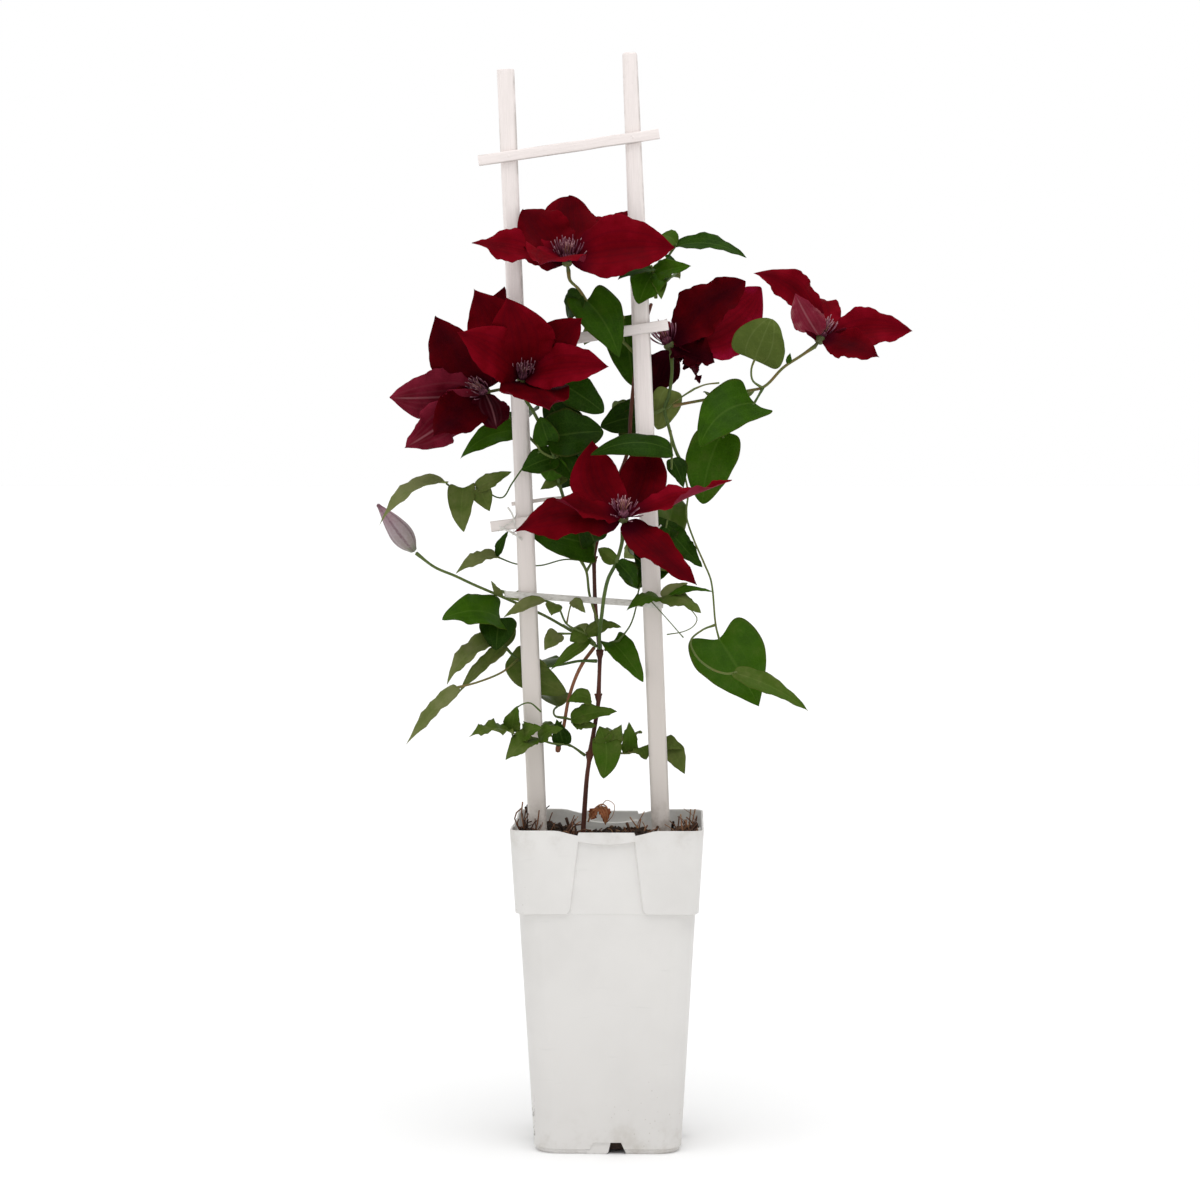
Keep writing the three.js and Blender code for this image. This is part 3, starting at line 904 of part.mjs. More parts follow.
// Every other petal starts a little higher, as the inner ring does; grow makes the tool that frees stamens.
function makeBloom({ heart, axis, petals }, grow = 0) {
  const receptacle = solid(new THREE.SphereGeometry(RECEPTACLE + 2 * grow, 6, 4).translate(...heart));
  const foot = (spec, i) => vec(spec.to).sub(vec(heart)).setLength(CLAW)
    .add(vec(heart)).addScaledVector(vec(axis).normalize(), i % 2 ? LAYER : -LAYER).toArray();
  return oneBody(join([receptacle, ...petals.map((spec, i) => (
    blade({ ...spec, width: spec.width + 6 * grow, from: foot(spec, i) }, BLADE + grow)))]));
}

// The stamens: a dome of filaments leaning out from the flower's axis, cut clear of the petals.
function makeStamens(flower) {
  const axis = vec(flower.axis).normalize();
  const toAxis = new THREE.Quaternion().setFromUnitVectors(new THREE.Vector3(0, 1, 0), axis);
  const root = vec(flower.heart).addScaledVector(axis, BOSS.lift);
  const dome = new THREE.SphereGeometry(BOSS.radius, 6, 4).translate(...root.toArray());
  const parts = [solid(dome)];
  for (let i = 0; i < BOSS.filaments; i += 1) {
    const lean = BOSS.spread * Math.sqrt((i + 0.5) / BOSS.filaments);
    const spin = i * GOLDEN_ANGLE;
    const reach = BOSS.length * (1 - 0.25 * lean) + BOSS.radius * 0.4;
    const spike = new THREE.ConeGeometry(BOSS.thickness, reach, 3).translate(0, reach / 2, 0);
    spike.applyQuaternion(new THREE.Quaternion().setFromEuler(new THREE.Euler(lean, spin, 0, 'YXZ')));
    spike.applyQuaternion(toAxis).translate(...root.toArray());
    parts.push(solid(spike));
  }
  return oneBody(join(parts).subtract(makeBloom(flower, 4 * GAP)));
}

function makeBud() {
  const base = vec([-133, -10, 406]);
  const tip = vec([-156, -12, 437]);
  const axis = tip.clone().sub(base);
  const profile = [[0, 0], [4, 2], [7.5, 9], [8, 16], [5.5, 26], [2.5, 34], [0, 38.6]];
  const body = new THREE.LatheGeometry(profile.map(([r, h]) => new THREE.Vector2(r, h)), 10);
  const turn = new THREE.Quaternion().setFromUnitVectors(new THREE.Vector3(0, 1, 0), axis.normalize());
  return solid(body.applyQuaternion(turn).translate(...base.toArray()));
}

// ---------------------------------------------------------------- the whole plant

const plant = new THREE.Group();

function add(name, body, material) {
  const mesh = new THREE.Mesh(geometryOf(body), material);
  mesh.name = name;
  plant.add(mesh);
}

add('pot', makePot(), PLASTIC);
add('soil', makeSoil([upright(UPRIGHT_LEFT, GAP), upright(UPRIGHT_RIGHT, GAP)], MAIN_STEM.path), EARTH);
add('trellis_upright_left', upright(UPRIGHT_LEFT), WHITE_WOOD);
add('trellis_upright_right', upright(UPRIGHT_RIGHT), WHITE_WOOD);
add('trellis_rung_top', rung(RUNG_TOP), WHITE_WOOD);
add('trellis_rung_middle', rung(RUNG_MIDDLE), WHITE_WOOD);
add('trellis_rung_low', rung(RUNG_LOW), WHITE_WOOD);
add('trellis_brace_back', backBrace(), WHITE_WOOD);
add('tie_strip', tieStrip(), TIE_STRIP);
add('stem_main', mainStem(), BARK);
add('stem_side_shoot', makeSideShoot(), YOUNG_BARK);
add('dry_leaf', join(DRY_LEAF.map((spec) => blade(spec))), DRY);
for (const [name, spray] of Object.entries(SPRAYS)) add(name, makeSpray(spray), LEAF);
for (const [name, flower] of Object.entries(BLOOMS)) {
  add(`bloom_${name}`, makeBloom(flower), PETAL);
  add(`stamens_${name}`, makeStamens(flower), STAMEN);
}
add('bud', makeBud(), BUD);

export default plant;
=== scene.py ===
"""A clematis in bloom on its small white trellis, in a square nursery pot.

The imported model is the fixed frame. Every part of the plant, the trellis and the pot is laid over its
own node as a finer surface, and takes a material of its own. Lengths in the lists are millimetres in the
frame's axes: x to the plant's right, y away from its front and z up.
"""

import math
from functools import partial, reduce
from types import SimpleNamespace as Named

import bpy
import numpy as np
from bpy.props import FloatProperty, FloatVectorProperty, IntProperty, PointerProperty
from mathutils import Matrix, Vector


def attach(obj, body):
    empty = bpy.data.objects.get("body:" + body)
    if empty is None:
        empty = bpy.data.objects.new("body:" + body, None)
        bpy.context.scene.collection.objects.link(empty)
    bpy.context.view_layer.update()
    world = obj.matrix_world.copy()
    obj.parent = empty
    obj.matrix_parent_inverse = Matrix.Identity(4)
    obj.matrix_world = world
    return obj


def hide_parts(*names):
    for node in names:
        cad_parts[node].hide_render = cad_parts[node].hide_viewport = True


bl_info = {
    "name": "Clematis on a Trellis",
    "version": (1, 0, 0),
    "blender": (4, 5, 0),
    "location": "3D View > Sidebar > Clematis",
    "description": "Builds a clematis in bloom, its ladder trellis and its square pot",
    "category": "Add Mesh",
}

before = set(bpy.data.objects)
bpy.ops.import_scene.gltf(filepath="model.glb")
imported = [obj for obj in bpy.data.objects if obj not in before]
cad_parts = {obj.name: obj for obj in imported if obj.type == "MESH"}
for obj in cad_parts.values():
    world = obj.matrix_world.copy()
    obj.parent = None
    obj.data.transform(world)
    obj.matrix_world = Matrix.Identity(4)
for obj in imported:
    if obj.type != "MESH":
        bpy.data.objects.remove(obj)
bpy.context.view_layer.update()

MM = 0.001
GOLDEN_ANGLE = math.pi * (3 - math.sqrt(5))

# -------- the pot and what stands in it

POT = Named(
    height=221, wall=1.5, floor=2.5,
    foot_half=48, base_half=50, shoulder_half=59.3,
    foot_height=4, shoulder_height=163,
    collar_bottom=164, collar_bottom_half=61.5, collar_top_half=65,
    base_corner=16, top_corner=13, collar_corner=9,
)
RECESS = Named(top_half=18.5, bottom_half=24.5, flare=4, step=0.15)
LIP = Named(  # low is its lower edge; rows from start to end sag with it, and the rim dips from dip_start up
    low=213.7, sag=2.2, top=219.8, half=18.6, start=204, end=218.5,
    dip=217.5, dip_half=33, dip_start=211,
)
NOTCH = Named(top_half=9.5, bottom_half=13, height=8, inner=24, web_back=1.2)

SOIL_LEVEL = 204
SOIL_MOUNDS = [  # x, y, extra height, radius
    (22, -50, 16, 11), (-26, -52, 14, 10), (-56, -34, 15, 13), (52, -44, 14, 12),
    (56, 24, 10, 14), (-48, 48, 9, 13), (6, 40, 3, 18),
]
STRAWS = [  # foot, head, radius
    ((-26, -30, 199), (-33, -30, 222), 0.9), ((-22, -28, 199), (-28, -34, 226), 0.8),
    ((20, -34, 199), (13, -36, 223), 0.8), ((26, -44, 199), (34, -38, 221), 0.7),
    ((-56, 40, 199), (-58, 44, 226), 1.0), ((-52, 44, 199), (-60, 48, 224), 0.9),
    ((-60, 38, 199), (-52, 46, 222), 0.9), ((56, -20, 199), (60, -30, 222), 1.2),
    ((-34, 30, 199), (-26, 38, 214), 0.8), ((36, 36, 199), (44, 30, 216), 0.8),
]
TUFTS = [  # x, y, how many dry root ends, how far they lean, how tall they stand
    (-57, -30, 14, 7, 13), (-50, -46, 12, 9, 13), (-58, 30, 16, 7, 14), (-48, 50, 9, 8, 12),
    (56, -30, 18, 11, 15), (46, -50, 14, 10, 13), (36, -40, 12, 12, 16), (24, -46, 10, 10, 15),
    (58, 20, 14, 9, 14), (50, 50, 9, 9, 10), (-24, -44, 14, 10, 17), (6, 34, 8, 14, 8),
]

# -------- the trellis

UPRIGHT = Named(width=12.6, depth=9, round=3.2, y=-20)
UPRIGHTS = {  # foot and head in x and z, shares of the full width along the slat, how flat the head is
    "left": {"foot": (-41.7, 60), "head": (-69.3, 731), "widths": (1, 1, 1, 0.97, 0.93, 0.9, 0.93),
             "flat": 0.8},
    "right": {"foot": (42.3, 60), "head": (14.5, 742), "widths": (1, 1, 1, 1, 0.98, 0.92, 0.8),
              "flat": 0.3},
}
RUNG = Named(height=7.2, depth=3, round=0.9, tilt=8.3)
RUNGS = {  # middle in x and z, length
    "top": ((-26.5, 678), 123), "middle": ((-19.8, 550), 122), "low": ((-19.5, 431.5), 121),
}
TIE = Named(height=4.4, thickness=1, drop=-4, left=-70.5, right=37.5, z=373.5, fold=8)
BRACE = Named(height=2.6, thickness=1.4, rise=6, left=-66, right=34, z=443.5)
GAP = 0.3  # between the slats

# -------- woody stems

MAIN_STEM = [  # x, y, z, radius: it swells at the knots
    (-19, -5, 186, 1.6), (-17, -5, 222, 1.6), (-15, -6, 250, 1.5), (-13.4, -7, 262, 1.6),
    (-13, -7, 266, 2.6), (-12.3, -7, 270, 1.7), (-8, -8, 295, 1.45), (-7, -8, 303, 1.6),
    (-7, -8, 306, 2.3), (-6.8, -8, 309, 1.6), (-6, -8, 332, 1.5), (-6, -8, 336, 2.5),
    (-6.3, -8, 340, 1.6), (-9, -8, 367, 1.45), (-10, -8, 397, 1.45), (-10, -8, 400, 2.2),
    (-10, -8, 403, 1.5), (-6, -8, 420, 1.4), (3, -8, 447, 1.35), (13, -8, 474, 1.3),
    (15, -8, 498, 1.3), (17, -8, 519, 1.25), (21, -8, 548, 1.2), (29, -9, 574, 1.1),
]
SIDE_SHOOT = [
    (-35, -10, 268.5, 1.4), (-34.6, -10, 271, 1.9), (-34, -10, 274, 1.25), (-31, -10, 285, 1.2),
    (-28, -10, 302, 1.2), (-24, -9, 316, 1.2), (-18, -9, 329, 1.2), (-10, -8.5, 340, 1.2),
]
STEM_KNOTS = [(-13, -7, 266), (-7, -8, 306), (-6, -8, 336), (-10, -8, 400)]

# -------- leaves and petals


def blade_spec(kind, start, tip, face, width, rise, fold=0, wave=0.6, **form):
    """A leaf or a petal: its outline's kind, where it starts and ends, what its upper face looks to, its
    width, how far its middle rises off its chord, how far its sides fold up and its margin waves."""
    spec = {"kind": kind, "start": start, "tip": tip, "face": face, "width": width}
    return {**spec, "rise": rise, "fold": fold, "wave": wave, **form}


cordate, ovate, lance = (partial(blade_spec, kind) for kind in ("heart", "ovate", "lance"))
petal = partial(blade_spec, "petal", None)  # a petal starts at its flower's heart

# widest moves the broadest place towards the base below 1, full rounds the outline below 1, lobe sweeps
# the two sides back behind the stalk, as in a heart, and nerves are where the side nerves run from 0 to 1.
OUTLINES = {
    "heart": {"widest": 0.52, "full": 0.72, "point": 0.0, "lobe": 0.17, "nerves": (0.36, 0.7)},
    "ovate": {"widest": 0.62, "full": 0.9, "point": 0.0, "lobe": 0.06, "nerves": (0.45,)},
    "lance": {"widest": 0.75, "full": 1.1, "point": 0.0, "lobe": 0.0, "nerves": (0.5,)},
    "petal": {"widest": 0.88, "full": 0.72, "point": 0.4, "lobe": 0.0, "nerves": (0.22, 0.5)},
}
LOBE_AT = 0.13  # where along the leaf the lobes reach furthest back
PLAIN = {"hook": 0, "bend": 0, "twist": 0, "ripples": 2}  # what a spec may leave out
LAG = 0.4  # turns by which the ripples of one margin lag behind the other's
LEAF_THICKNESS = 0.5
LEAF_RELIEF = Named(midrib=0.16, nerves=0.012, puffs=0.06)
PETAL_RELIEF = Named(middle=0.35, ribs=0.12, pleats=0.02, fine_pleats=0.012)
VEIN_STEP = 6.2  # how far apart a leaf's side veins are

CLAW = 2.4  # how far from the flower's heart a petal starts
LAYER = 1.6  # half the step between the outer and the inner petals
BOSS = Named(stamens=40, styles=16, length=13, width=0.42, spread=0.62, style_length=9.5, style_width=0.5)
BUD = Named(
    base=(-133, -10, 406), tip=(-156, -12, 437), bend=(-1.5, 0, 0.5),
    # share of the length, radius
    profile=[(0, 1.2), (0.05, 4), (0.23, 7.3), (0.41, 7.9), (0.67, 5.6), (0.88, 2.6), (1, 0.9)],
)
DRY_LEAF = [
    lance((-13, -10, 223), (-4, -14, 232), (0.3, -1, 0.5), 7, 2, 0.5, 1.5, twist=30),
    lance((-6, -13, 232), (-2, -16, 219), (0.6, -1, 0.2), 8, 3, 0.6, 1.5, twist=-25),
]
DRY_STALKS = [  # points, radius: a dry leaf stalk that curls over, and a hair that loops off it
    ([(-14, -9, 220.5), (-11, -12, 228), (-5, -14, 233), (-1, -15, 231), (-2, -16, 225)], 0.5),
    ([(-5, -14, 232), (-1, -16, 236), (4, -17, 233), (3, -17, 226), (-1, -16, 221)], 0.25),
]
TIE_ENDS = [  # points, width, twist in radians: torn ends of older ties on the uprights' fronts
    ([(-78.4, -25, 425.5), (-74, -27.5, 423), (-67, -28, 420), (-61, -27.5, 416.5), (-58, -25, 414)],
     1.6, 0.4),
    ([(-67.8, -27.5, 436), (-64.5, -29, 431), (-63, -29.2, 424), (-64.5, -28.6, 417)], 1.3, 1.2),
    ([(-61.5, -26.5, 431.5), (-64.5, -28.8, 426.5), (-69, -29, 423.5), (-74.5, -27, 420)], 1.1, -0.6),
    ([(23, -25, 423.5), (27.5, -28, 420.5), (33, -27.5, 416), (37.5, -24.5, 412.5)], 1.4, 0.5),
    ([(21.5, -24.5, 417), (26, -27.6, 417.8), (32, -27.6, 420.5), (36, -25, 424)], 1.1, -0.4),
]
SOIL = Named(crumbs=1500, fibres=90)
SEED = 17

# A spray's tone range gives its darkest and palest leaf, from 0 deep green to 1 grey green: partly the
# leaves' own tone, partly painted light and shade, as sprays deep in the plant are darker and the low ones
# paler. A tone given to a single leaf works the same way. open is how wide a flower's stamens spread, and
# reach how long they are, where 1 is usual.
SPRAYS, BLOOMS = {}, {}

SPRAYS["top"] = {"tone_and_shade_range": (0.25, 0.7), "stalks": [
    ([(32, -9, 578), (32, -14, 585), (31, -24, 592), (29, -31, 598)], 0.9),
    ([(32, -12, 582), (36, -12, 598), (46, -14, 614)], 0.8),
], "leaves": [
    ovate((46, -14, 612), (93, -36, 603), (0.1, -0.8, 0.7), 16, 4, 0.25, 1, bend=-4),
    ovate((46, -14, 613), (33, -8, 619), (0.2, -1, 0.5), 11, 3, 0.2, bend=1.5),
    ovate((38, -28, 588), (56, -46, 597), (0.2, -1, 0.3), 15, 3, 0.3, 1),
    ovate((36, -26, 588), (36, -44, 575), (0.3, -1, 0.2), 12, 2, 0.3),
    cordate((30, -27, 592), (21, -41, 572), (-0.1, -1, 0.3), 27, 4, 0.15, 1, full=0.62),
    ovate((30, -31, 593), (7, -46, 588), (-0.2, -0.8, 0.6), 15, 3, 0.3),
    lance((37, -12, 610), (43, -20, 597), (0.6, -1, 0), 9, 1, twist=30),
    ovate((34, -6, 584), (48, 34, 594), (0.2, 0.8, 0.8), 22, 4, 0.3, 1),
]}
SPRAYS["upper"] = {"tone_and_shade_range": (0.2, 0.45), "stalks": [
    ([(-26, -42, 594.5), (-25, -42, 588), (-19, -40, 582), (-11, -33, 570), (2, -22, 556), (10, -14, 548),
        (17.2, -8, 541)], 1),
    ([(-3, -26, 560), (-12, -34, 572), (-16, -37, 577)], 0.8),
    ([(10, -14, 548), (8, -2, 560), (10, 4, 566)], 0.8),
], "leaves": [
    cordate((-12, -37, 576), (8, -48, 536), (0.2, -1, 0.3), 32, 4, 0.12, 0.8, bend=-2, widest=0.58, full=0.9,
        lobe=0.22, tone=0.42),
    ovate((-14, -38, 580), (-27, -26, 564), (-0.5, -0.9, 0.3), 19, 3, 0.2, full=0.65),
    ovate((10, 3, 572), (17, -2, 518), (0, -1, 0.1), 30, -2, 0.1, 1.2, full=0.7),
    cordate((8, 4, 562), (-18, 38, 548), (-0.3, 0.5, 0.9), 32, 5, 0.2, 1.4),
]}
SPRAYS["left_high"] = {"tone_and_shade_range": (0.1, 0.5), "stalks": [
    ([(-58, -36.5, 518), (-55, -36, 508), (-51, -36, 502), (-44, -37, 489), (-39, -36, 478), (-36, -34, 469),
        (-34, -27, 456), (-31, -20, 444), (-27, -13, 430), (-18, -6, 414), (-12.9, -6, 407)], 1.15),
    ([(-36, -34, 469), (-30, -30, 473), (-22, -24, 480), (-25, -19, 495), (-30, -17, 510), (-31, -20, 519)],
        0.8),
    ([(-36, -34, 469), (-45, -36, 474), (-49, -36, 482)], 0.8),
    ([(-35, -30, 462), (-24, -14, 454), (-20, 4, 450), (-28, 22, 455)], 0.8),
    ([(-28, 22, 455), (-48, 16, 476), (-70, 5, 499), (-80, -4, 509.5)], 1),
    ([(-45, -36, 474), (-52, -34, 469), (-57, -32, 463), (-65, -28, 452), (-71, -20, 443), (-77, -15, 443),
        (-85, -10, 448), (-97, -8, 449), (-105, -8, 448), (-111, -8, 452)], 0.55),
], "leaves": [
    ovate((-31, -22, 519), (-3, -22, 500), (0.1, -1, 0.3), 24, 3, 0.15, 1, full=0.6),
    ovate((-43, -25, 483), (-3, -26, 487), (0, -1, 0.4), 34, 3, 0.2, 1, full=0.62),
    ovate((-29, -19, 482), (-43, -20, 510), (-0.1, -1, 0.1), 26, 2, 0.15, 1, full=0.65, tone=0.15),
    ovate((-35, -17, 458), (-46, -22, 448), (-0.1, -1, 0.2), 10, 2, 0.3, tone=0.8),
    ovate((-34, -34, 471), (-58, -35, 461), (-0.2, -1, 0.3), 19, 3, 0.2, 1, full=0.7),
    ovate((-33, -33, 472), (-23, -34, 455), (0.2, -1, 0.2), 20, 2, 0.2, 1, full=0.7),
    ovate((-38, -29, 473), (-42, -26, 454), (0, -1, 0.2), 21, 2, 0.15, full=0.7),
    ovate((-40, -36, 477), (-45, -40, 497), (-0.2, -1, 0.1), 18, 2, 0.2, full=0.7),
    ovate((-66, 6, 478), (-102, 2, 469), (0, -1, 0.4), 18, 2, 0.2, 1, bend=6, tone=0.5),
    ovate((-110, -8, 452), (-154, -36, 424), (0.1, -0.35, 1), 16, 11, 0.3, 1, tone=1),
    cordate((-98, -8, 448), (-98, -20, 419), (-0.1, -1, 0.2), 19, 2, 0.2, 1, bend=1.5, tone=0.84),
    ovate((-89, -8, 450), (-66, -12, 460), (0, -1, 0.3), 11, 2, 0.25, 1, tone=0.82),
    ovate((-87, -8, 450), (-81, -14, 433), (0, -1, 0.2), 14, 2, 0.25, tone=0.84),
    cordate((-24, 10, 452), (-30, 46, 480), (-0.2, -0.4, 0.9), 30, 5, 0.2, 1.4),
    ovate((-62, 9, 492), (-52, 42, 504), (0.1, 0.7, 0.8), 26, 3, 0.3, 1),
]}
SPRAYS["right_high"] = {"tone_and_shade_range": (0.1, 0.5), "stalks": [
    ([(42.6, -4.6, 540.3), (43, -5, 528), (41, -5, 512), (38, -4, 503), (41, -5, 490), (45, -6, 476),
        (50, -8, 465)], 1.15),
    ([(38, -4, 503), (30, -4, 500), (18.2, -7, 505)], 1),
    ([(30, -4, 500), (26, 2, 499), (22, 6, 498)], 0.6),
    ([(42, -5, 488), (43, -12, 472), (43, -30, 462), (43, -40, 474)], 0.7),
    ([(39, -4, 503), (50, -12, 511), (58, -14, 516)], 0.6),
    ([(58, -14, 516), (66, -16, 519), (75, -18, 520)], 0.5),
    ([(30, -4, 500), (28, 8, 496), (24, 20, 500)], 0.8),
], "leaves": [
    ovate((45, -2, 515), (33, 8, 489), (0.1, 1, 0.2), 21, -2, 0.15, 1, full=0.6, tone=0.8),
    cordate((21, 6, 508), (-6, 8, 491), (-0.1, -1, 0.3), 25, 3, 0.15, 1, full=0.62, tone=0.2),
    ovate((21, 6, 503), (7, 8, 483), (0, -1, 0.2), 20, 2, 0.2, full=0.7),
    ovate((45, -42, 479), (-11, -52, 471), (0.1, -0.85, 0.7), 21, 11, -0.2, 0.8, full=0.75),
    ovate((42, -12, 466), (51, -20, 449), (0.4, -1, 0.2), 14, 2, 0.2, tone=0.2),
    cordate((24, 20, 500), (4, 56, 488), (0, 0.5, 0.9), 38, 5, 0.2, 1.5),
    ovate((28, 8, 496), (46, 36, 504), (0.2, 0.6, 0.8), 22, 4, 0.3, 1.2),
]}
SPRAYS["far_right"] = {"tone_and_shade_range": (0.36, 0.5), "stalks": [
    ([(140.4, 4.8, 545.4), (131, 4, 539), (119, 2, 531), (106, 0, 518), (94, 2, 515), (76, 4, 511),
        (60, 0, 508), (50, -6, 506), (44, -8, 504.6)], 1),
    ([(105, 0, 517), (101, -6, 510), (98, -12, 505)], 0.8),
    ([(105, 0, 517), (98, -5, 522), (97, -9, 530), (100, -12, 538)], 0.7),
    ([(76, 4, 511), (77, 1, 497), (78, -5, 483)], 0.7),
], "leaves": [
    cordate((99, -13, 508), (62, -32, 477), (-0.1, -1, 0.3), 36, 5, 0.1, 1.5, bend=7, full=0.6),
    ovate((78, -2, 486), (64, -6, 438), (0, -1, 0.15), 35, 4, 0.12, 1.2, bend=3, full=0.6, tone=0.56),
    ovate((101, -12, 536), (110, -22, 563), (0.1, 1, -0.1), 38, -3, -0.1, 1, full=0.5, tone=0.5),
    lance((123, 2, 531), (123.5, -1, 541), (0, -1, 0), 4, 0),
    ovate((76, 4, 511), (84, 42, 494), (0.2, 0.5, 0.9), 30, 5, 0.2, 1.5),
    ovate((94, 3, 515), (72, 36, 500), (0.1, 0.5, 0.9), 22, 4, 0.3, 1),
]}
SPRAYS["centre"] = {"tone_and_shade_range": (0.1, 0.5), "stalks": [
    ([(11, -59, 422), (10, -61, 412), (6, -60, 399), (1, -56, 389), (-2, -48, 377), (-4, -38, 363),
        (-6, -24, 350), (-6, -12.2, 340)], 1.3),
    ([(-5, -28, 354), (-9, -20, 364), (-13, -16, 377), (-15, -15, 392), (-19, -14, 400)], 0.9),
    ([(-15, -15, 392), (-11, -15, 400), (-9.5, -15, 412)], 0.7),
    ([(-19, -14, 400), (-31, -9, 400), (-47, -9, 396), (-63, -9, 397), (-76, -12, 402)], 0.5),
], "leaves": [
    cordate((-18, -15, 410), (-54, -12, 419), (-0.1, -1, 0.35), 29, 3, 0.15, 1.6, full=0.65),
    ovate((-9, -15, 413), (-17, -30, 430), (0.1, -1, 0.1), 21, 2, 0.2, tone=0.15),
    ovate((8, -58, 400), (-6, -50, 409), (-0.3, -1, 0.2), 10, 2, 0.3, tone=0.75),
    ovate((10, -59, 399), (21, -46, 382), (0.4, -1, 0.1), 13, 3, 0.5, 1.5, hook=4),
    lance((-75, -12, 403), (-68, -16, 420), (-0.5, -1, 0), 7, 2, 0.3),
    ovate((-75, -12, 402), (-103, -30, 391), (-0.2, -0.7, 0.6), 12, 5, 0.4, 1, twist=15, tone=0.95),
]}
SPRAYS["bud"] = {"tone_and_shade_range": (0.7, 0.95), "stalks": [
    ([(-131.5, -10, 404.5), (-119, -10, 395), (-105, -10, 389), (-92, -11, 383), (-78, -11, 377),
        (-62, -10, 370), (-44, -10, 362), (-26, -13, 352), (-8, -12.7, 341)], 0.95),
    ([(-78, -11, 377), (-72, 4, 374), (-66, 16, 376)], 0.6),
], "leaves": [
    lance((-72, -12, 375), (-80, -17, 386), (-0.4, -1, 0.2), 5, 1),
    ovate((-66, 16, 376), (-60, 48, 366), (-0.1, 0.5, 0.9), 28, 4, 0.2, 1.4),
    ovate((-26, -13, 352), (-16, 24, 340), (0.2, 0.7, 0.7), 20, 4, 0.3, 1),
]}
SPRAYS["left"] = {"tone_and_shade_range": (0.6, 0.9), "stalks": [
    ([(-8, -12.7, 331), (-20, -12.8, 331), (-34, -9, 328), (-47, -9, 327), (-62, -10, 332), (-72, -13, 342)],
        0.95),
    ([(-62, -10, 332), (-72, -22, 324), (-88, -36, 318), (-101, -42, 315)], 0.7),
    ([(-72, -13, 342), (-76, -13, 352), (-74, -13, 360)], 0.8),
], "leaves": [
    ovate((-69, -10, 334), (-29, -6, 308), (-0.1, -1, 0.2), 24, 0, 0.1, 1.5, bend=3, full=0.65),
    ovate((-81, -14, 344), (-108, -42, 317), (-0.3, -1, 0.5), 16, 4, 0.3, 2, bend=5, tone=0.92),
    ovate((-102, -42, 319), (-134, -60, 278), (-0.3, -1, 0.4), 11, 3, 0.3, 1.2, tone=0.95),
    ovate((-75, -14, 337), (-101, -32, 310), (-0.2, -1, 0.2), 10, 2, 0.3, 1.5, bend=2, tone=0.88),
    ovate((-69, -13, 359), (-76, -24, 339), (-0.1, -1, 0.2), 26, 3, 0.2, 1.2, full=0.65, tone=0.2),
    cordate((-72, -13, 361), (-111, -44, 361), (-0.1, -0.9, 0.5), 29, 5, 0.12, 1.6, bend=3, full=0.65,
        tone=0.52),
    ovate((-40, -7, 327), (-56, 38, 322), (-0.2, 0.6, 0.8), 32, 5, 0.2, 1.6),
    ovate((-72, -11, 341), (-84, 24, 352), (-0.4, 0.5, 0.9), 24, 4, 0.3, 1.2),
]}
SPRAYS["mid"] = {"tone_and_shade_range": (0.68, 0.95), "stalks": [
    ([(-9, -15.2, 343), (-16, -19, 350), (-28, -25, 357), (-34, -29, 369), (-42, -31, 373)], 0.7),
    ([(-16, -19, 350), (-26, -19, 350), (-34, -18, 350)], 0.7),
    ([(-28, -25, 357), (-26, -27, 367), (-24, -28, 373)], 0.45),
], "leaves": [
    lance((-42, -31, 373), (-70, -38, 362), (-0.1, -0.8, 0.7), 11, 3, 0.4),
    ovate((-32, -30, 374), (-38, -34, 363), (0, -1, 0.2), 12, 1.5, 0.3),
    ovate((-24, -28, 374), (-15, -33, 365), (0.1, -1, 0.3), 8, 1.5, 0.3),
    ovate((-34, -19, 353), (-43, -26, 339), (-0.1, -1, 0.3), 13, 2, 0.3),
    ovate((-16, -19, 350), (-26, -22, 345), (-0.1, -1, 0.4), 12, 1.5, 0.2, full=0.7),
    ovate((-13, -15, 352), (9, -13, 354), (0.1, -0.9, 0.6), 11, 4, -0.15, 1, bend=-3),
    lance((-8, -18, 350), (-39, -34, 326), (0, -1, 0.4), 9, 3, 0.3, tone=0.7),
]}
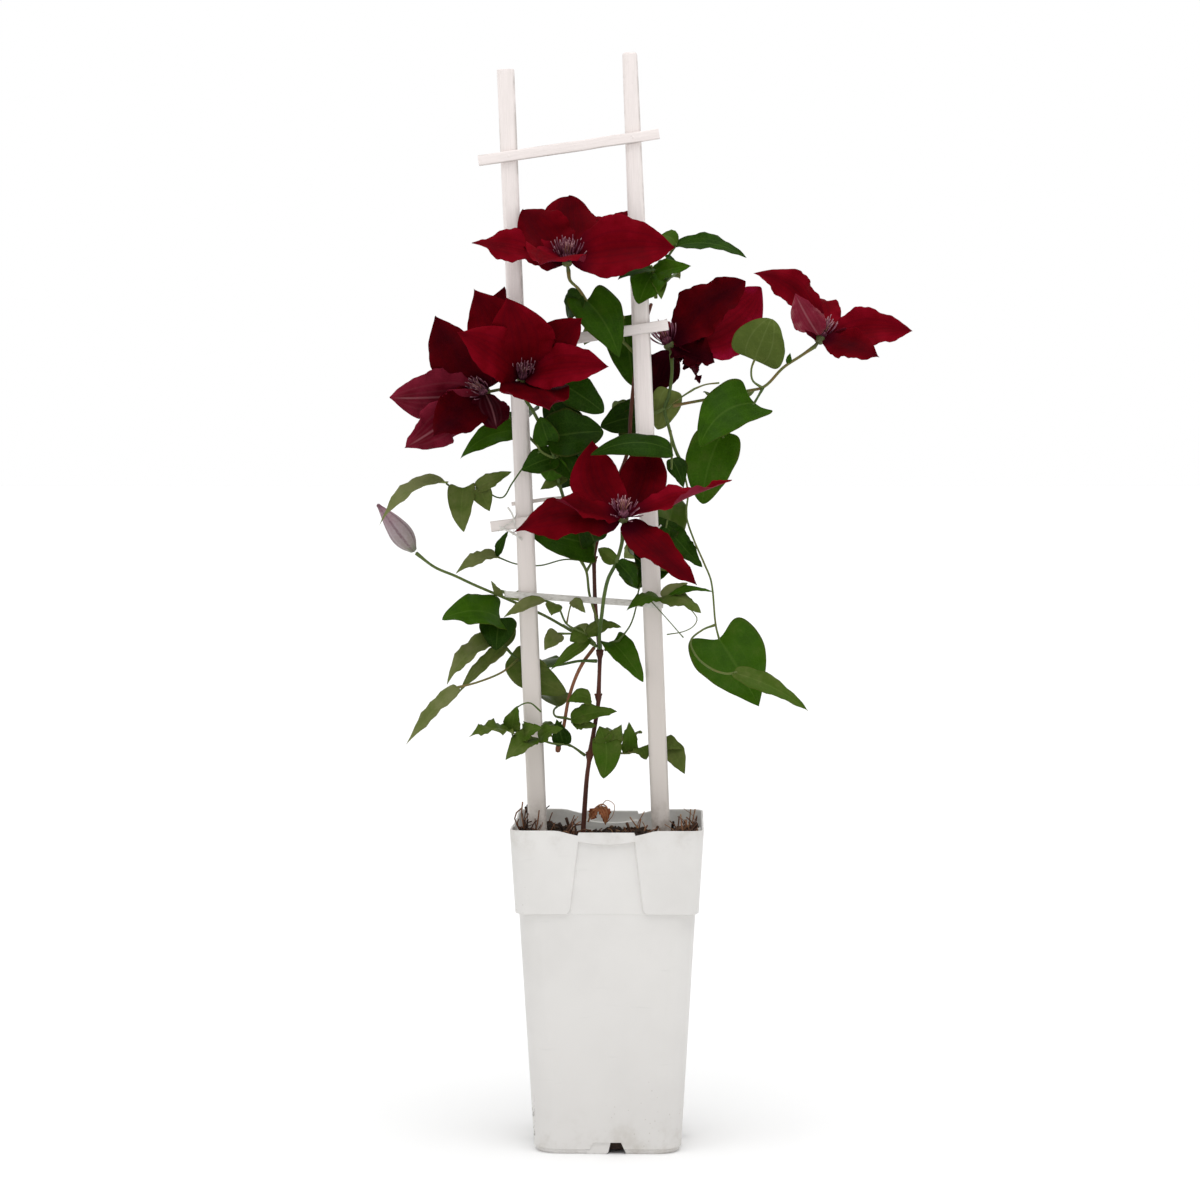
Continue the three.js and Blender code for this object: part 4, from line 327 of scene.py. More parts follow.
SPRAYS["right"] = {"tone_and_shade_range": (0.4, 0.85), "stalks": [
    ([(-2.2, -9, 338), (0, -12, 343), (7, -16, 345)], 0.7),
    ([(7, -16, 345), (15, -16, 356), (19, -13, 369), (21, -11, 381), (28, -9, 394), (36, -8, 409),
        (40, -8, 427)], 0.55),
    ([(19, -13, 369), (20, -27, 377), (27, -29, 375), (37, -29, 375)], 0.5),
    ([(27, -29, 375), (38, -30, 363), (51, -27, 348)], 0.35),
    ([(37, -29, 375), (51, -36, 371), (60, -34, 362), (58, -30, 356), (51, -27, 352), (40, -27, 350)], 0.35),
], "leaves": [
    ovate((35, -29, 375), (13, -46, 367), (0, -0.7, 0.8), 12, 6, -0.2, 1, full=0.75),
    ovate((37, -29, 375), (63, -40, 365), (0.1, -0.7, 0.8), 15, 6, -0.2, 1, full=0.75),
    ovate((37, -29, 376), (54, -28, 385), (0.1, -0.9, 0.5), 11, 1, 0.2, tone=1),
    lance((41, -29, 376), (72, -34, 379), (0, -0.7, 0.9), 7, 5, 0.3),
    ovate((43, -8, 435), (35, -12, 412), (0.2, -1, 0.2), 20, -2, 0.15, 1, full=0.65, tone=0.2),
    ovate((36, -8, 424), (64, -14, 395), (0.2, -1, 0.2), 16, -2, 0.15, 2, ripples=3, tone=0.3),
    ovate((30, -9, 396), (19, -14, 414), (0, -1, 0.1), 18, 0, 0.2, tone=0.1),
    cordate((2, -14, 343), (24, -32, 318), (0.2, -1, 0.5), 19, 3, 0.3, 1),
    ovate((21, -11, 381), (34, 36, 398), (0.2, 0.5, 0.9), 32, 5, 0.2, 1.4),
    cordate((28, -9, 394), (10, 38, 400), (0.1, 0.6, 0.8), 32, 5, 0.2, 1.4),
    ovate((38, -8, 417), (44, 36, 446), (0.3, 0.6, 0.8), 24, 4, 0.3, 1.2),
]}
SPRAYS["hanging"] = {"tone_and_shade_range": (0.5, 0.8), "stalks": [
    ([(50.6, -8.6, 462), (54, -12, 446), (53, -14, 430), (58, -14, 414), (65, -14, 398), (70, -14, 385),
        (73, -14, 356), (76, -15, 344)], 0.65),
    ([(73, -14, 356), (64, -24, 353), (56, -35, 346), (60, -42, 336), (70, -46, 328), (80, -49, 325),
        (87, -50, 326)], 0.7),
], "leaves": [
    cordate((75, -16, 346), (102, -36, 302), (0.1, -1, 0.3), 50, 4, 0.08, 1.2, widest=0.6, full=0.95,
        lobe=0.23, tone=0.54),
    ovate((84, -50, 327), (134, -58, 301), (0.1, -0.9, 0.6), 15, 3, 0.2, 1, bend=-2, tone=0.72),
]}
SPRAYS["low_left"] = {"tone_and_shade_range": (0.64, 0.82), "stalks": [
    ([(-16.2, -8, 266), (-26, -12, 273), (-38, -28, 276), (-50, -32, 280), (-64, -34, 281)], 0.8),
    ([(-64, -34, 281), (-66, -31, 290), (-62, -31, 300), (-53, -33, 304), (-45, -34, 298)], 0.5),
    ([(-26, -12, 273), (-36, 2, 276), (-44, 14, 280)], 0.7),
], "leaves": [
    ovate((-67, -34, 283), (-92, -58, 283), (-0.1, -0.6, 0.9), 17, 5, 0.2, 2.2, ripples=3),
    ovate((-63, -32, 285), (-61, -35, 302), (-0.2, -1, 0.1), 12, 1.5, 0.3, 1),
    ovate((-50, -32, 281), (-68, -52, 267), (-0.1, -1, 0.6), 17, 3, 0.3, 1.2),
    ovate((-58, -33, 280), (-44, -40, 288), (0, -0.8, 0.6), 14, 3, 0.2, 1.4),
    ovate((-46, -30, 278), (-30, -36, 287), (0.1, -0.8, 0.7), 13, 3, 0.2, 1.4),
    ovate((-28, -18, 275), (-35, -23, 292), (0, -1, 0), 13, 2, 0.3, tone=0.2),
    cordate((-44, 14, 280), (-58, 44, 276), (-0.3, 0.5, 0.9), 26, 4, 0.2, 1.6),
]}
SPRAYS["low_centre"] = {"tone_and_shade_range": (0.68, 0.86), "stalks": [
    ([(-29.4, -12.4, 292), (-24, -14, 291), (-14, -16, 294), (-12, -15, 304)], 0.6),
    ([(-29.4, -12.4, 292), (-36, -12, 293), (-38, 0, 296), (-36, 12, 298)], 0.7),
], "leaves": [
    ovate((-24, -14, 287), (6, -19, 297), (0, -0.9, 0.6), 14, 4, 0.2, 1.6),
    ovate((-22, -14, 286), (-8, -19, 287), (0, -1, 0.5), 10, 2, 0.2, 1.4, bend=2),
    ovate((-8, -15, 309), (-28, -17, 303), (0, -1, 0.4), 12, 3, 0.2, 1, bend=3),
    ovate((-36, 12, 298), (-50, 40, 302), (-0.3, 0.6, 0.8), 24, 4, 0.3, 1.2),
]}
SPRAYS["low_right"] = {"tone_and_shade_range": (0.66, 0.84), "stalks": [
    ([(-9.6, -7, 265), (0, -10, 268), (14, -12, 268), (24, -10, 272), (34, 0, 274), (42, 4, 274)], 0.7),
    ([(0, -10, 268), (0, -16, 273), (-2, -18, 276)], 0.7),
    ([(14, -12, 268), (12, 4, 272), (8, 16, 276)], 0.7),
], "leaves": [
    cordate((1, -19, 277), (-3, -26, 252), (0, -1, 0.15), 20, 2, 0.15, bend=-1.5, full=0.65),
    ovate((-2, -15, 277), (-6, -18, 287), (0, -1, 0.1), 13, 2, 0.3, 1),
    ovate((3, -12, 276), (9, -17, 288), (0.2, -1, 0.1), 12, 2, 0.3, 1),
    ovate((12, -12, 276), (14, -18, 290), (0.2, -1, 0.1), 12, 2, 0.3, 1.4),
    ovate((21, -11, 280), (26, -15, 264), (0.2, -1, 0.2), 15, 2, 0.3, 1),
    ovate((37, 2, 280), (50, -2, 270), (0.2, -1, 0.4), 11, 2, 0.3),
    ovate((39, 3, 278), (52, -4, 253), (0.2, -1, 0.2), 15, 2, 0.2),
    cordate((8, 16, 276), (12, 48, 270), (0.1, 0.5, 0.9), 28, 4, 0.2, 1.6),
]}

BLOOMS["top"] = {"heart": (-27, -42, 600), "axis": (0.05, -0.45, 0.9), "open": 1.3, "petals": [
    petal((-90, -54, 612), (0.1, -0.75, 0.7), 30, 4, 0.15, 3),
    petal((45, -50, 609), (0, -1, 0.45), 46, 8, 0.2, 2.5),
    petal((-57, -30, 636), (0.3, -1, 0.4), 38, 2, 0.15, 2.5, full=0.6, point=0.1),
    petal((-28, -4, 647), (0, -0.9, 0.5), 42, -2, 0.1, 1.5, full=0.55, point=0),
    petal((15, 8, 638), (-0.2, -0.9, 0.6), 30, 2, 0.2, 3, ripples=3),
    petal((-43, -102, 594), (0.1, -0.5, 0.9), 40, 4, 0.2, 2.5),
]}
BLOOMS["front_left"] = {"heart": (-57, -42, 522), "axis": (0.1, -0.7, 0.7), "open": 0.5, "petals": [
    petal((-89, -50, 582), (0.2, -0.9, 0.3), 42, 3, 0.1, 2.5),
    petal((-66, -66, 575), (0.1, -1, 0.1), 46, 7, 0.1, 2, bend=3),
    petal((-16, -60, 562), (-0.2, -1, 0.3), 36, 1, 0.15, 2),
    petal((2, -78, 529), (0, -0.9, 0.5), 34, 6, 0.15, 2),
    petal((-36, -98, 500), (0.2, -0.7, 0.8), 46, 2, 0.1, 2, widest=0.8),
    petal((-97, -78, 552), (0.2, -1, 0.3), 36, 8, 0.1, 2),
]}
BLOOMS["back_left"] = {"heart": (-84, -8, 514), "axis": (-0.5, -0.7, 0.35), "open": 1.1, "petals": [
    petal((-116, -34, 565), (-0.5, -0.9, 0.2), 42, 5, 0.2, 2, tone=0.25),
    petal((-71, -6, 586), (-0.2, -1, 0), 38, -2, 0.15, 2),
    petal((-148, -24, 510), (0.1, 1, 0.35), 40, -4, 0.15, 2.5),
    petal((-136, -44, 476), (-0.3, 0.9, 0.5), 32, -3, 0.25, 4, ripples=3, twist=-25),
    petal((-116, -52, 484), (0.2, -0.8, 0.5), 34, 2, 0.2, 2.5, tone=0.2),
    petal((-75, -30, 489), (-0.4, 0.9, 0.1), 28, -2, 0.15, 2, tone=0),
]}
BLOOMS["centre"] = {"heart": (11, -60, 429), "axis": (0.05, -0.45, 0.9), "open": 2.2, "reach": 0.82}
BLOOMS["centre"]["petals"] = [
    petal((-61, -78, 420), (0, -0.6, 0.85), 34, 12, -0.3, 3, twist=20),
    petal((-10, -40, 481), (0.1, -1, 0.3), 34, -2, 0.2, 1.5, full=0.65, bend=-9),
    petal((27, -30, 483), (0, -1, 0.3), 32, -2, 0.2, 2, full=0.65, bend=5),
    petal((83, -72, 455), (-0.2, -0.8, 0.8), 26, -2, 0.35, 2.5, twist=50),
    petal((60, -96, 386), (0.2, -1, 0.6), 25, 6, 0.12, 2.5, widest=0.7, full=0.6, bend=3),
    petal((-32, -100, 442), (0.3, -0.6, 0.8), 24, -2, 0.2, 2),
]
BLOOMS["right"] = {"heart": (41, -4, 546), "axis": (-0.45, -0.1, 0.85), "open": 0.9, "petals": [
    petal((93, -10, 589), (-0.4, -0.8, 0.4), 40, 3, 0.15, 3, full=0.62, point=0.15, bend=-3, tone=0.26),
    petal((104, 10, 586), (-0.3, -0.9, 0.4), 48, -7, 0.05, 2.5, full=0.6, point=0.15, bend=9, tone=0.76),
    petal((72, -12, 534), (0.2, -0.9, 0.5), 26, 3, 0.2, 3.5, ripples=3, tone=0.1),
    petal((62, -8, 520), (0.5, -0.8, 0.1), 22, 4, 0.4, 4, ripples=3, twist=60, tone=0),
    # The next petal's near-black tone paints the shade it hangs in below the flower.
    petal((29, 12, 513), (0.1, -1, 0), 26, -4, 0.15, 2.5, tone=0.05),
    petal((70, 54, 562), (0, 0.2, 0.95), 36, 6, 0.2, 2.5),
]}
BLOOMS["far_right"] = {"heart": (144, 6, 550), "axis": (0.3, 0.4, 0.85), "open": 1, "petals": [
    petal((98, -16, 594), (0.4, -0.85, 0.3), 27, 4, 0.1, 3, bend=13, full=0.62, point=0.3),
    petal((126, -22, 580), (0.2, 0.9, 0.3), 22, -2, -0.15, 1.5, tone=0.78),
    petal((207, 4, 556), (-0.1, -0.9, 0.4), 30, 0, 0.2, 3, bend=-5, point=0.6),
    petal((183, -20, 537), (-0.1, -0.8, 0.6), 25, 2, 0.15, 2.5, point=0.6),
    petal((140, 52, 584), (0.1, -0.6, 0.8), 34, 4, 0.2, 2.5),
    petal((192, 46, 562), (-0.1, -0.2, 1), 32, 3, 0.2, 2.5),
]}

# -------- surfaces


def unit(vectors):
    """Vectors scaled to length one."""
    return vectors / np.maximum(np.linalg.norm(vectors, axis=-1, keepdims=True), 1e-12)


def smooth_step(values, low, high):
    """0 below low, 1 above high, and a cubic ease between them."""
    x = np.clip((values - low) / (high - low), 0, 1)
    return x * x * (3 - 2 * x)


def bell(values, width):
    """1 at zero and e to the minus (value / width) squared beside it."""
    return np.exp(-((values / width) ** 2))


def wave(turns):
    """The sine of a number of full turns."""
    return np.sin(2 * np.pi * turns)


def vec(values):
    """A point or a direction from the lists."""
    return np.array(values, float)


def marks(rings, across, along, tone):
    """The vector shape for rings: a number across, the place along, one for each ring, and the tone."""
    full = np.ones(rings.shape[:2])
    return np.stack([across * full, np.reshape(along, (-1, 1)) * full, tone * full], -1)


def smooth_path(points, step):
    """Points about step apart on a cubic through the given ones, whose slope at each is the chord between
    its two neighbours. Numbers past the third, such as a radius, are carried along in the same way."""
    p = np.asarray(points, float)
    gap = np.linalg.norm(np.diff(p[:, :3], axis=0), axis=1)
    at = np.concatenate([[0], np.cumsum(gap)])
    slope = np.empty_like(p)
    slope[1:-1] = (p[2:] - p[:-2]) / (at[2:] - at[:-2])[:, None]
    slope[0], slope[-1] = (p[1] - p[0]) / gap[0], (p[-1] - p[-2]) / gap[-1]
    s = np.linspace(0, at[-1], max(5, int(at[-1] / step) + 1))
    i = np.clip(np.searchsorted(at, s, side="right") - 1, 0, len(gap) - 1)
    h, x = gap[i][:, None], ((s - at[i]) / gap[i])[:, None]
    start = p[i] * (1 + 2 * x) * (1 - x) ** 2 + slope[i] * h * x * (1 - x) ** 2
    end = p[i + 1] * x**2 * (3 - 2 * x) - slope[i + 1] * h * x**2 * (1 - x)
    return start + end


def tube(path, radius, sides, ribs=0, rib=0.0):
    """Rings round a path: at angle a each lies radius (1 + rib cos(ribs a)) off it."""
    along = unit(np.gradient(path[:, :3], axis=0))
    least_aligned = np.linalg.eigh(along.T @ along)[1][:, 0]
    across = unit(np.cross(along, least_aligned))
    over = np.cross(along, across)
    angle = np.linspace(0, 2 * np.pi, sides, endpoint=False)
    reach = np.broadcast_to(radius, len(path))[:, None] * (1 + rib * np.cos(ribs * angle))
    outward = np.cos(angle)[None, :, None] * across[:, None] + np.sin(angle)[None, :, None] * over[:, None]
    return path[:, None, :3] + reach[..., None] * outward


def sway(length_shares, rng, size, waves=3):
    """A slow random swing: sines of 1 to waves turns over the length, with random sizes and phases."""
    turns = np.arange(1, waves + 1)
    sizes = rng.uniform(-1, 1, waves) / turns
    phases = rng.uniform(0, 2 * np.pi, waves)
    return size * (sizes * np.sin(2 * np.pi * turns * np.asarray(length_shares)[..., None] + phases)).sum(-1)


class Pile:
    """Closed surfaces gathered for one mesh, with two vectors at each point that the materials read."""

    def __init__(self):
        self.points, self.place, self.shape = [], [], []
        self.faces = {3: [], 4: []}
        self.slots = {3: [], 4: []}
        self.count = 0

    def _keep(self, points, faces, place, shape, slot):
        self.points.append(points)
        self.place.append(np.broadcast_to(place, points.shape))
        self.shape.append(np.broadcast_to(shape, points.shape))
        for corners in faces:
            self.faces[corners.shape[1]].append(corners + self.count)
            self.slots[corners.shape[1]].append(np.full(len(corners), slot))
        self.count += len(points)

    def add(self, rings, place=(0, 0, 0), shape=(0, 0, 0), slot=0, bulge=0.0):
        """Rings from one pole to the other, counter-clockwise seen from the last. Quads join them, and fans
        to the middle of the first and the last ring, pushed out by bulge, close the ends."""
        rows, sides = rings.shape[:2]
        ends, inner = (np.array([rings[i].mean(0), rings[-1 - i].mean(0)]) for i in (0, 1))
        poles = ends + bulge * unit(ends - inner)

        def with_poles(values):
            full = np.broadcast_to(values, rings.shape)
            return np.concatenate([full.reshape(-1, 3), full[:1].mean(1), full[-1:].mean(1)])

        here = np.arange(sides)
        after = (here + 1) % sides
        row = (np.arange(rows - 1) * sides)[:, None]
        quads = np.stack([row + here, row + after, row + after + sides, row + here + sides], -1)
        last = (rows - 1) * sides
        first_pole = np.full(sides, rows * sides)
        fans = [
            np.stack([first_pole, after, here], -1),
            np.stack([first_pole + 1, last + here, last + after], -1),
        ]
        points = np.concatenate([rings.reshape(-1, 3), poles])
        self._keep(points, [quads.reshape(-1, 4), *fans], with_poles(place), with_poles(shape), slot)

    def add_copies(self, points, triangles, shape, slot=0):
        """Many copies of one small closed body: points is copies by corners by 3, shape is a row each."""
        copies, corners = points.shape[:2]
        faces = (triangles[None] + (np.arange(copies) * corners)[:, None, None]).reshape(-1, 3)
        self._keep(points.reshape(-1, 3), [faces], (0, 0, 0), np.repeat(shape, corners, axis=0), slot)

    def mesh(self, name):
        """The gathered surfaces as one mesh, with the vectors kept as the attributes place and shape."""
        points = np.concatenate(self.points) * MM
        groups = [np.concatenate(self.faces[n]) for n in (3, 4) if self.faces[n]]
        slots = [np.concatenate(self.slots[n]) for n in (3, 4) if self.slots[n]]
        sizes = np.concatenate([np.full(len(group), group.shape[1]) for group in groups])
        corners = np.concatenate([group.ravel() for group in groups])
        mesh = bpy.data.meshes.new(name)
        mesh.vertices.add(len(points))
        mesh.vertices.foreach_set("co", points.astype(np.float32).ravel())
        mesh.loops.add(len(corners))
        mesh.loops.foreach_set("vertex_index", corners.astype(np.int32))
        mesh.polygons.add(len(sizes))
        mesh.polygons.foreach_set("loop_start", (np.cumsum(sizes) - sizes).astype(np.int32))
        mesh.polygons.foreach_set("material_index", np.concatenate(slots).astype(np.int32))
        mesh.polygons.foreach_set("use_smooth", np.ones(len(sizes), bool))
        mesh.update(calc_edges=True)
        for attribute, values in (("place", self.place), ("shape", self.shape)):
            kept = mesh.attributes.new(attribute, "FLOAT_VECTOR", "POINT")
            kept.data.foreach_set("vector", np.concatenate(values).astype(np.float32).ravel())
        return mesh


def new_object(name, data):
    """A new object in the scene."""
    made = bpy.data.objects.new(name, data)
    bpy.context.scene.collection.objects.link(made)
    return made


def put(name, pile, materials, nodes=(), crease=None):
    """Makes the pile a piece of the plant that stands for the CAD nodes named."""
    piece = new_object(name, pile.mesh(name))
    for material in materials:
        piece.data.materials.append(material)
    if crease is not None:
        piece.data.set_sharp_from_angle(angle=math.radians(crease))
    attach(piece, "root")
    if nodes:
        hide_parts(*nodes)
    return piece


# -------- blades


def blade_rows(count):
    """Places from base to tip, closer together at both ends, where the outline turns."""
    t = np.linspace(0, 1, count)
    v = 0.5 * t**1.25 + 0.25 * (1 - np.cos(np.pi * t))
    v[0], v[-1] = 0.0008, 0.9985
    return v


def blade_columns(kind, count):
    """Places across from -1 to 1, with one on the midrib and on each nerve."""
    keys = [0, *OUTLINES[kind]["nerves"], 1]
    half = [0.0]
    for low, high in zip(keys, keys[1:]):
        steps = max(2, round(count / 2 * (high - low)))
        half += list(np.linspace(low, high, steps + 1)[1:])
    return np.array([-x for x in half[:0:-1]] + half)


def half_width(b, v):
    """Half the width at v: width / 2 sin(pi v^widest)^(full + point v^5)."""
    return b.width / 2 * np.sin(np.pi * v ** b.widest) ** (b.full + b.point * v**5)


def nerve_distance(b, u, half):
    """How many millimetres each point lies from the midrib or the nearest nerve."""
    lines = np.array([0, *OUTLINES[b.kind]["nerves"]])
    return np.abs(np.abs(u)[..., None] - lines).min(-1) * half


def leaf_relief(b, u, v, half, rng):
    """The leaf's own relief: sunk midrib and nerves, puffed between its side veins, and a random sway."""
    along, across = v * b.length, np.abs(u) * half
    fade = np.clip(half / 4, 0, 1)
    midrib = LEAF_RELIEF.midrib * bell(across, 0.8) * (1 - 0.6 * v)
    nerves = LEAF_RELIEF.nerves * bell(nerve_distance(b, u, half), 0.8) * (1 - v)
    puffs = np.abs(np.sin(np.pi * vein_phase(along, across))) ** 0.7 * (1 - np.abs(u) ** 4)
    puffs = LEAF_RELIEF.puffs * puffs
    drift = sway(v, rng, 0.035 * b.width, 3) * u + sway(v, rng, 0.03 * b.width, 3) * np.abs(u)
    crinkle = 0.3 + 0.6 * np.clip((22 - b.width) / 10, 0, 1)
    frill = crinkle * b.wave * np.abs(u) ** 3 * wave(2.7 * b.ripples * v + rng.uniform())
    return fade * (puffs - midrib - nerves) + drift + frill * np.sin(np.pi * v)


def vein_phase(along, across):
    """Counts the side veins, which leave the midrib slantwise."""
    return along / VEIN_STEP - 0.6 * across / VEIN_STEP


def petal_relief(b, u, v, half, rng):
    """The petal's own relief: three sunk ribs, fine pleats, and a frilled and swaying margin."""
    fade = np.clip(half / 5, 0, 1)
    across = u * half
    middle = PETAL_RELIEF.middle * bell(across, 1.3) * (1 - 0.7 * v)
    ribs = PETAL_RELIEF.ribs * bell((np.abs(u) - OUTLINES["petal"]["nerves"][0]) * half, 1) * (1 - v)
    pleats = PETAL_RELIEF.pleats * np.cos(2 * np.pi * across / 2.1)
    pleats = pleats + PETAL_RELIEF.fine_pleats * np.cos(2 * np.pi * across / 1.1 + 4 * v)
    side = np.where(u < 0, 0.37, 0.0) + rng.uniform()
    frill = 0.4 * b.wave * np.abs(u) ** 3.5 * wave(2.6 * b.ripples * v + side)
    crimp = 0.16 * b.wave * np.abs(u) ** 6 * wave(6.3 * b.ripples * v + 2 * side)
    drift = sway(v, rng, 0.03 * b.width, 3) * u + sway(v, rng, 0.03 * b.width, 3) * u**2
    cup = 0.05 * b.width * wave(0.75 * u + rng.uniform()) * np.sin(np.pi * v) ** 2
    return fade * (pleats - middle - ribs) + drift + (frill + crimp) * np.sin(np.pi * v) ** 0.6 + 0.5 * cup


def blade(pile, spec, rows, columns, rng, tone, thickness=LEAF_THICKNESS):
    """Adds a leaf or petal. u runs across from -1 to 1 and v along from base to tip. A point lies at
    length v less the lobes' sweep lobe length |u|^1.6 (v / at) exp(1 - v / at) along the midrib, raised by
    rise 4v(1 - v) - hook v^4, bent aside by bend 4v(1 - v), and carried u times the half width across, which
    twists by twist v. The sides lift by fold half |u|^1.4 and by the margin's wave, and the relief comes on
    top. Each ring crosses the upper face and comes back along the lower one."""
    b = Named(**{**PLAIN, **OUTLINES[spec["kind"]], **spec})
    start, tip = vec(b.start), vec(b.tip)
    b.length = np.linalg.norm(tip - start)
    along = (tip - start) / b.length
    side = unit(np.cross(along, b.face))
    up = np.cross(side, along)
    v = blade_rows(rows)[:, None]
    u = blade_columns(b.kind, columns)[None, :]
    half = half_width(b, v)
    if b.kind != "petal":
        play = np.clip(12 / b.width, 0.2, 1)
        half = half * (1 + play * (sway(v, rng, 0.05, 4) + np.sign(u) * sway(v, rng, 0.07, 4)))
    bow = 4 * v * (1 - v)
    swept = b.lobe * b.length * np.abs(u) ** 1.6 * (v / LOBE_AT) * np.exp(1 - v / LOBE_AT)
    ripple = wave(b.ripples * v + np.where(u < 0, LAG, 0))
    lift = b.fold * half * np.abs(u) ** 1.4 + b.wave * u * u * ripple * np.sqrt(bow)
    relief = petal_relief if b.kind == "petal" else leaf_relief
    lift = lift + relief(b, u, v, half, rng)
    turn = np.radians(b.twist) * v[..., None]
    across = side * np.cos(turn) + up * np.sin(turn)
    out = up * np.cos(turn) - side * np.sin(turn)
    rise = b.rise * bow - b.hook * v**4
    middle = start + along * (b.length * v - swept)[..., None] + up * rise[..., None]
    sheet = middle + side * (b.bend * bow)[..., None] + across * (u * half)[..., None]
    sheet = sheet + out * lift[..., None]
    normal = unit(np.cross(np.gradient(sheet, axis=1), np.gradient(sheet, axis=0)))
    normal *= np.sign((normal * out).sum(-1, keepdims=True).mean())
    reach = thickness / 2 * (1 - 0.65 * np.abs(u) ** 6) * (0.35 + 0.65 * np.clip(half / 3, 0, 1))
    upper, lower = sheet + normal * reach[..., None], sheet - normal * reach[..., None]
    nerve = nerve_distance(b, u, half)
    veins = vein_phase(v * b.length, np.abs(u) * half)
    phase = u * half if b.kind == "petal" else veins
    place = np.stack([nerve, phase, np.ones_like(nerve)], -1)
    shape = marks(sheet, u, v, tone)
    pile.add(
        np.concatenate([upper, lower[:, ::-1]], 1),
        np.concatenate([place, place[:, ::-1] * (1, 1, 0)], 1),
        np.concatenate([shape, shape[:, ::-1]], 1),
    )


def stalk(pile, points, radius, tone, slot, sides=9, step=2.2):
    """Adds a round stalk on a smooth path through the points. It swells a little at both ends."""
    path = smooth_path(points, step)
    share = np.linspace(0, 1, len(path))
    swell = 1 + 0.45 * bell(share * len(path), 2.5) + 0.3 * bell((1 - share) * len(path), 2.5)
    rings = tube(path, radius * swell, sides, 3, 0.07)
    pile.add(rings, shape=marks(rings, 0, share, tone), slot=slot, bulge=0.6 * radius)
    return path


def lump(pile, centre, axis, radii, tone, slot=0, sides=14, rows=9, ribs=0, rib=0.0):
    """Adds a round body: an ellipsoid whose radii are given along and across its axis."""
    cap = 0.12  # the angle at a pole that the outermost ring leaves open
    angle = np.linspace(cap, np.pi - cap, rows)
    path = vec(centre) - np.cos(angle)[:, None] * unit(vec(axis)) * radii[0]
    rings = tube(path, radii[1] * np.sin(angle), sides, ribs, rib)
    shape = marks(rings, 0, np.linspace(0, 1, rows), tone)
    pile.add(rings, shape=shape, slot=slot, bulge=cap**2 / 2 * radii[0])


# -------- finishes


def paint(code):
    """A colour from its web code, as the linear red, green and blue that the shaders take, with alpha 1."""
    shares = np.array([int(code[i : i + 2], 16) for i in (1, 3, 5)]) / 255
    linear = np.where(shares <= 0.04045, shares / 12.92, ((shares + 0.055) / 1.055) ** 2.4)
    return (*linear.tolist(), 1.0)


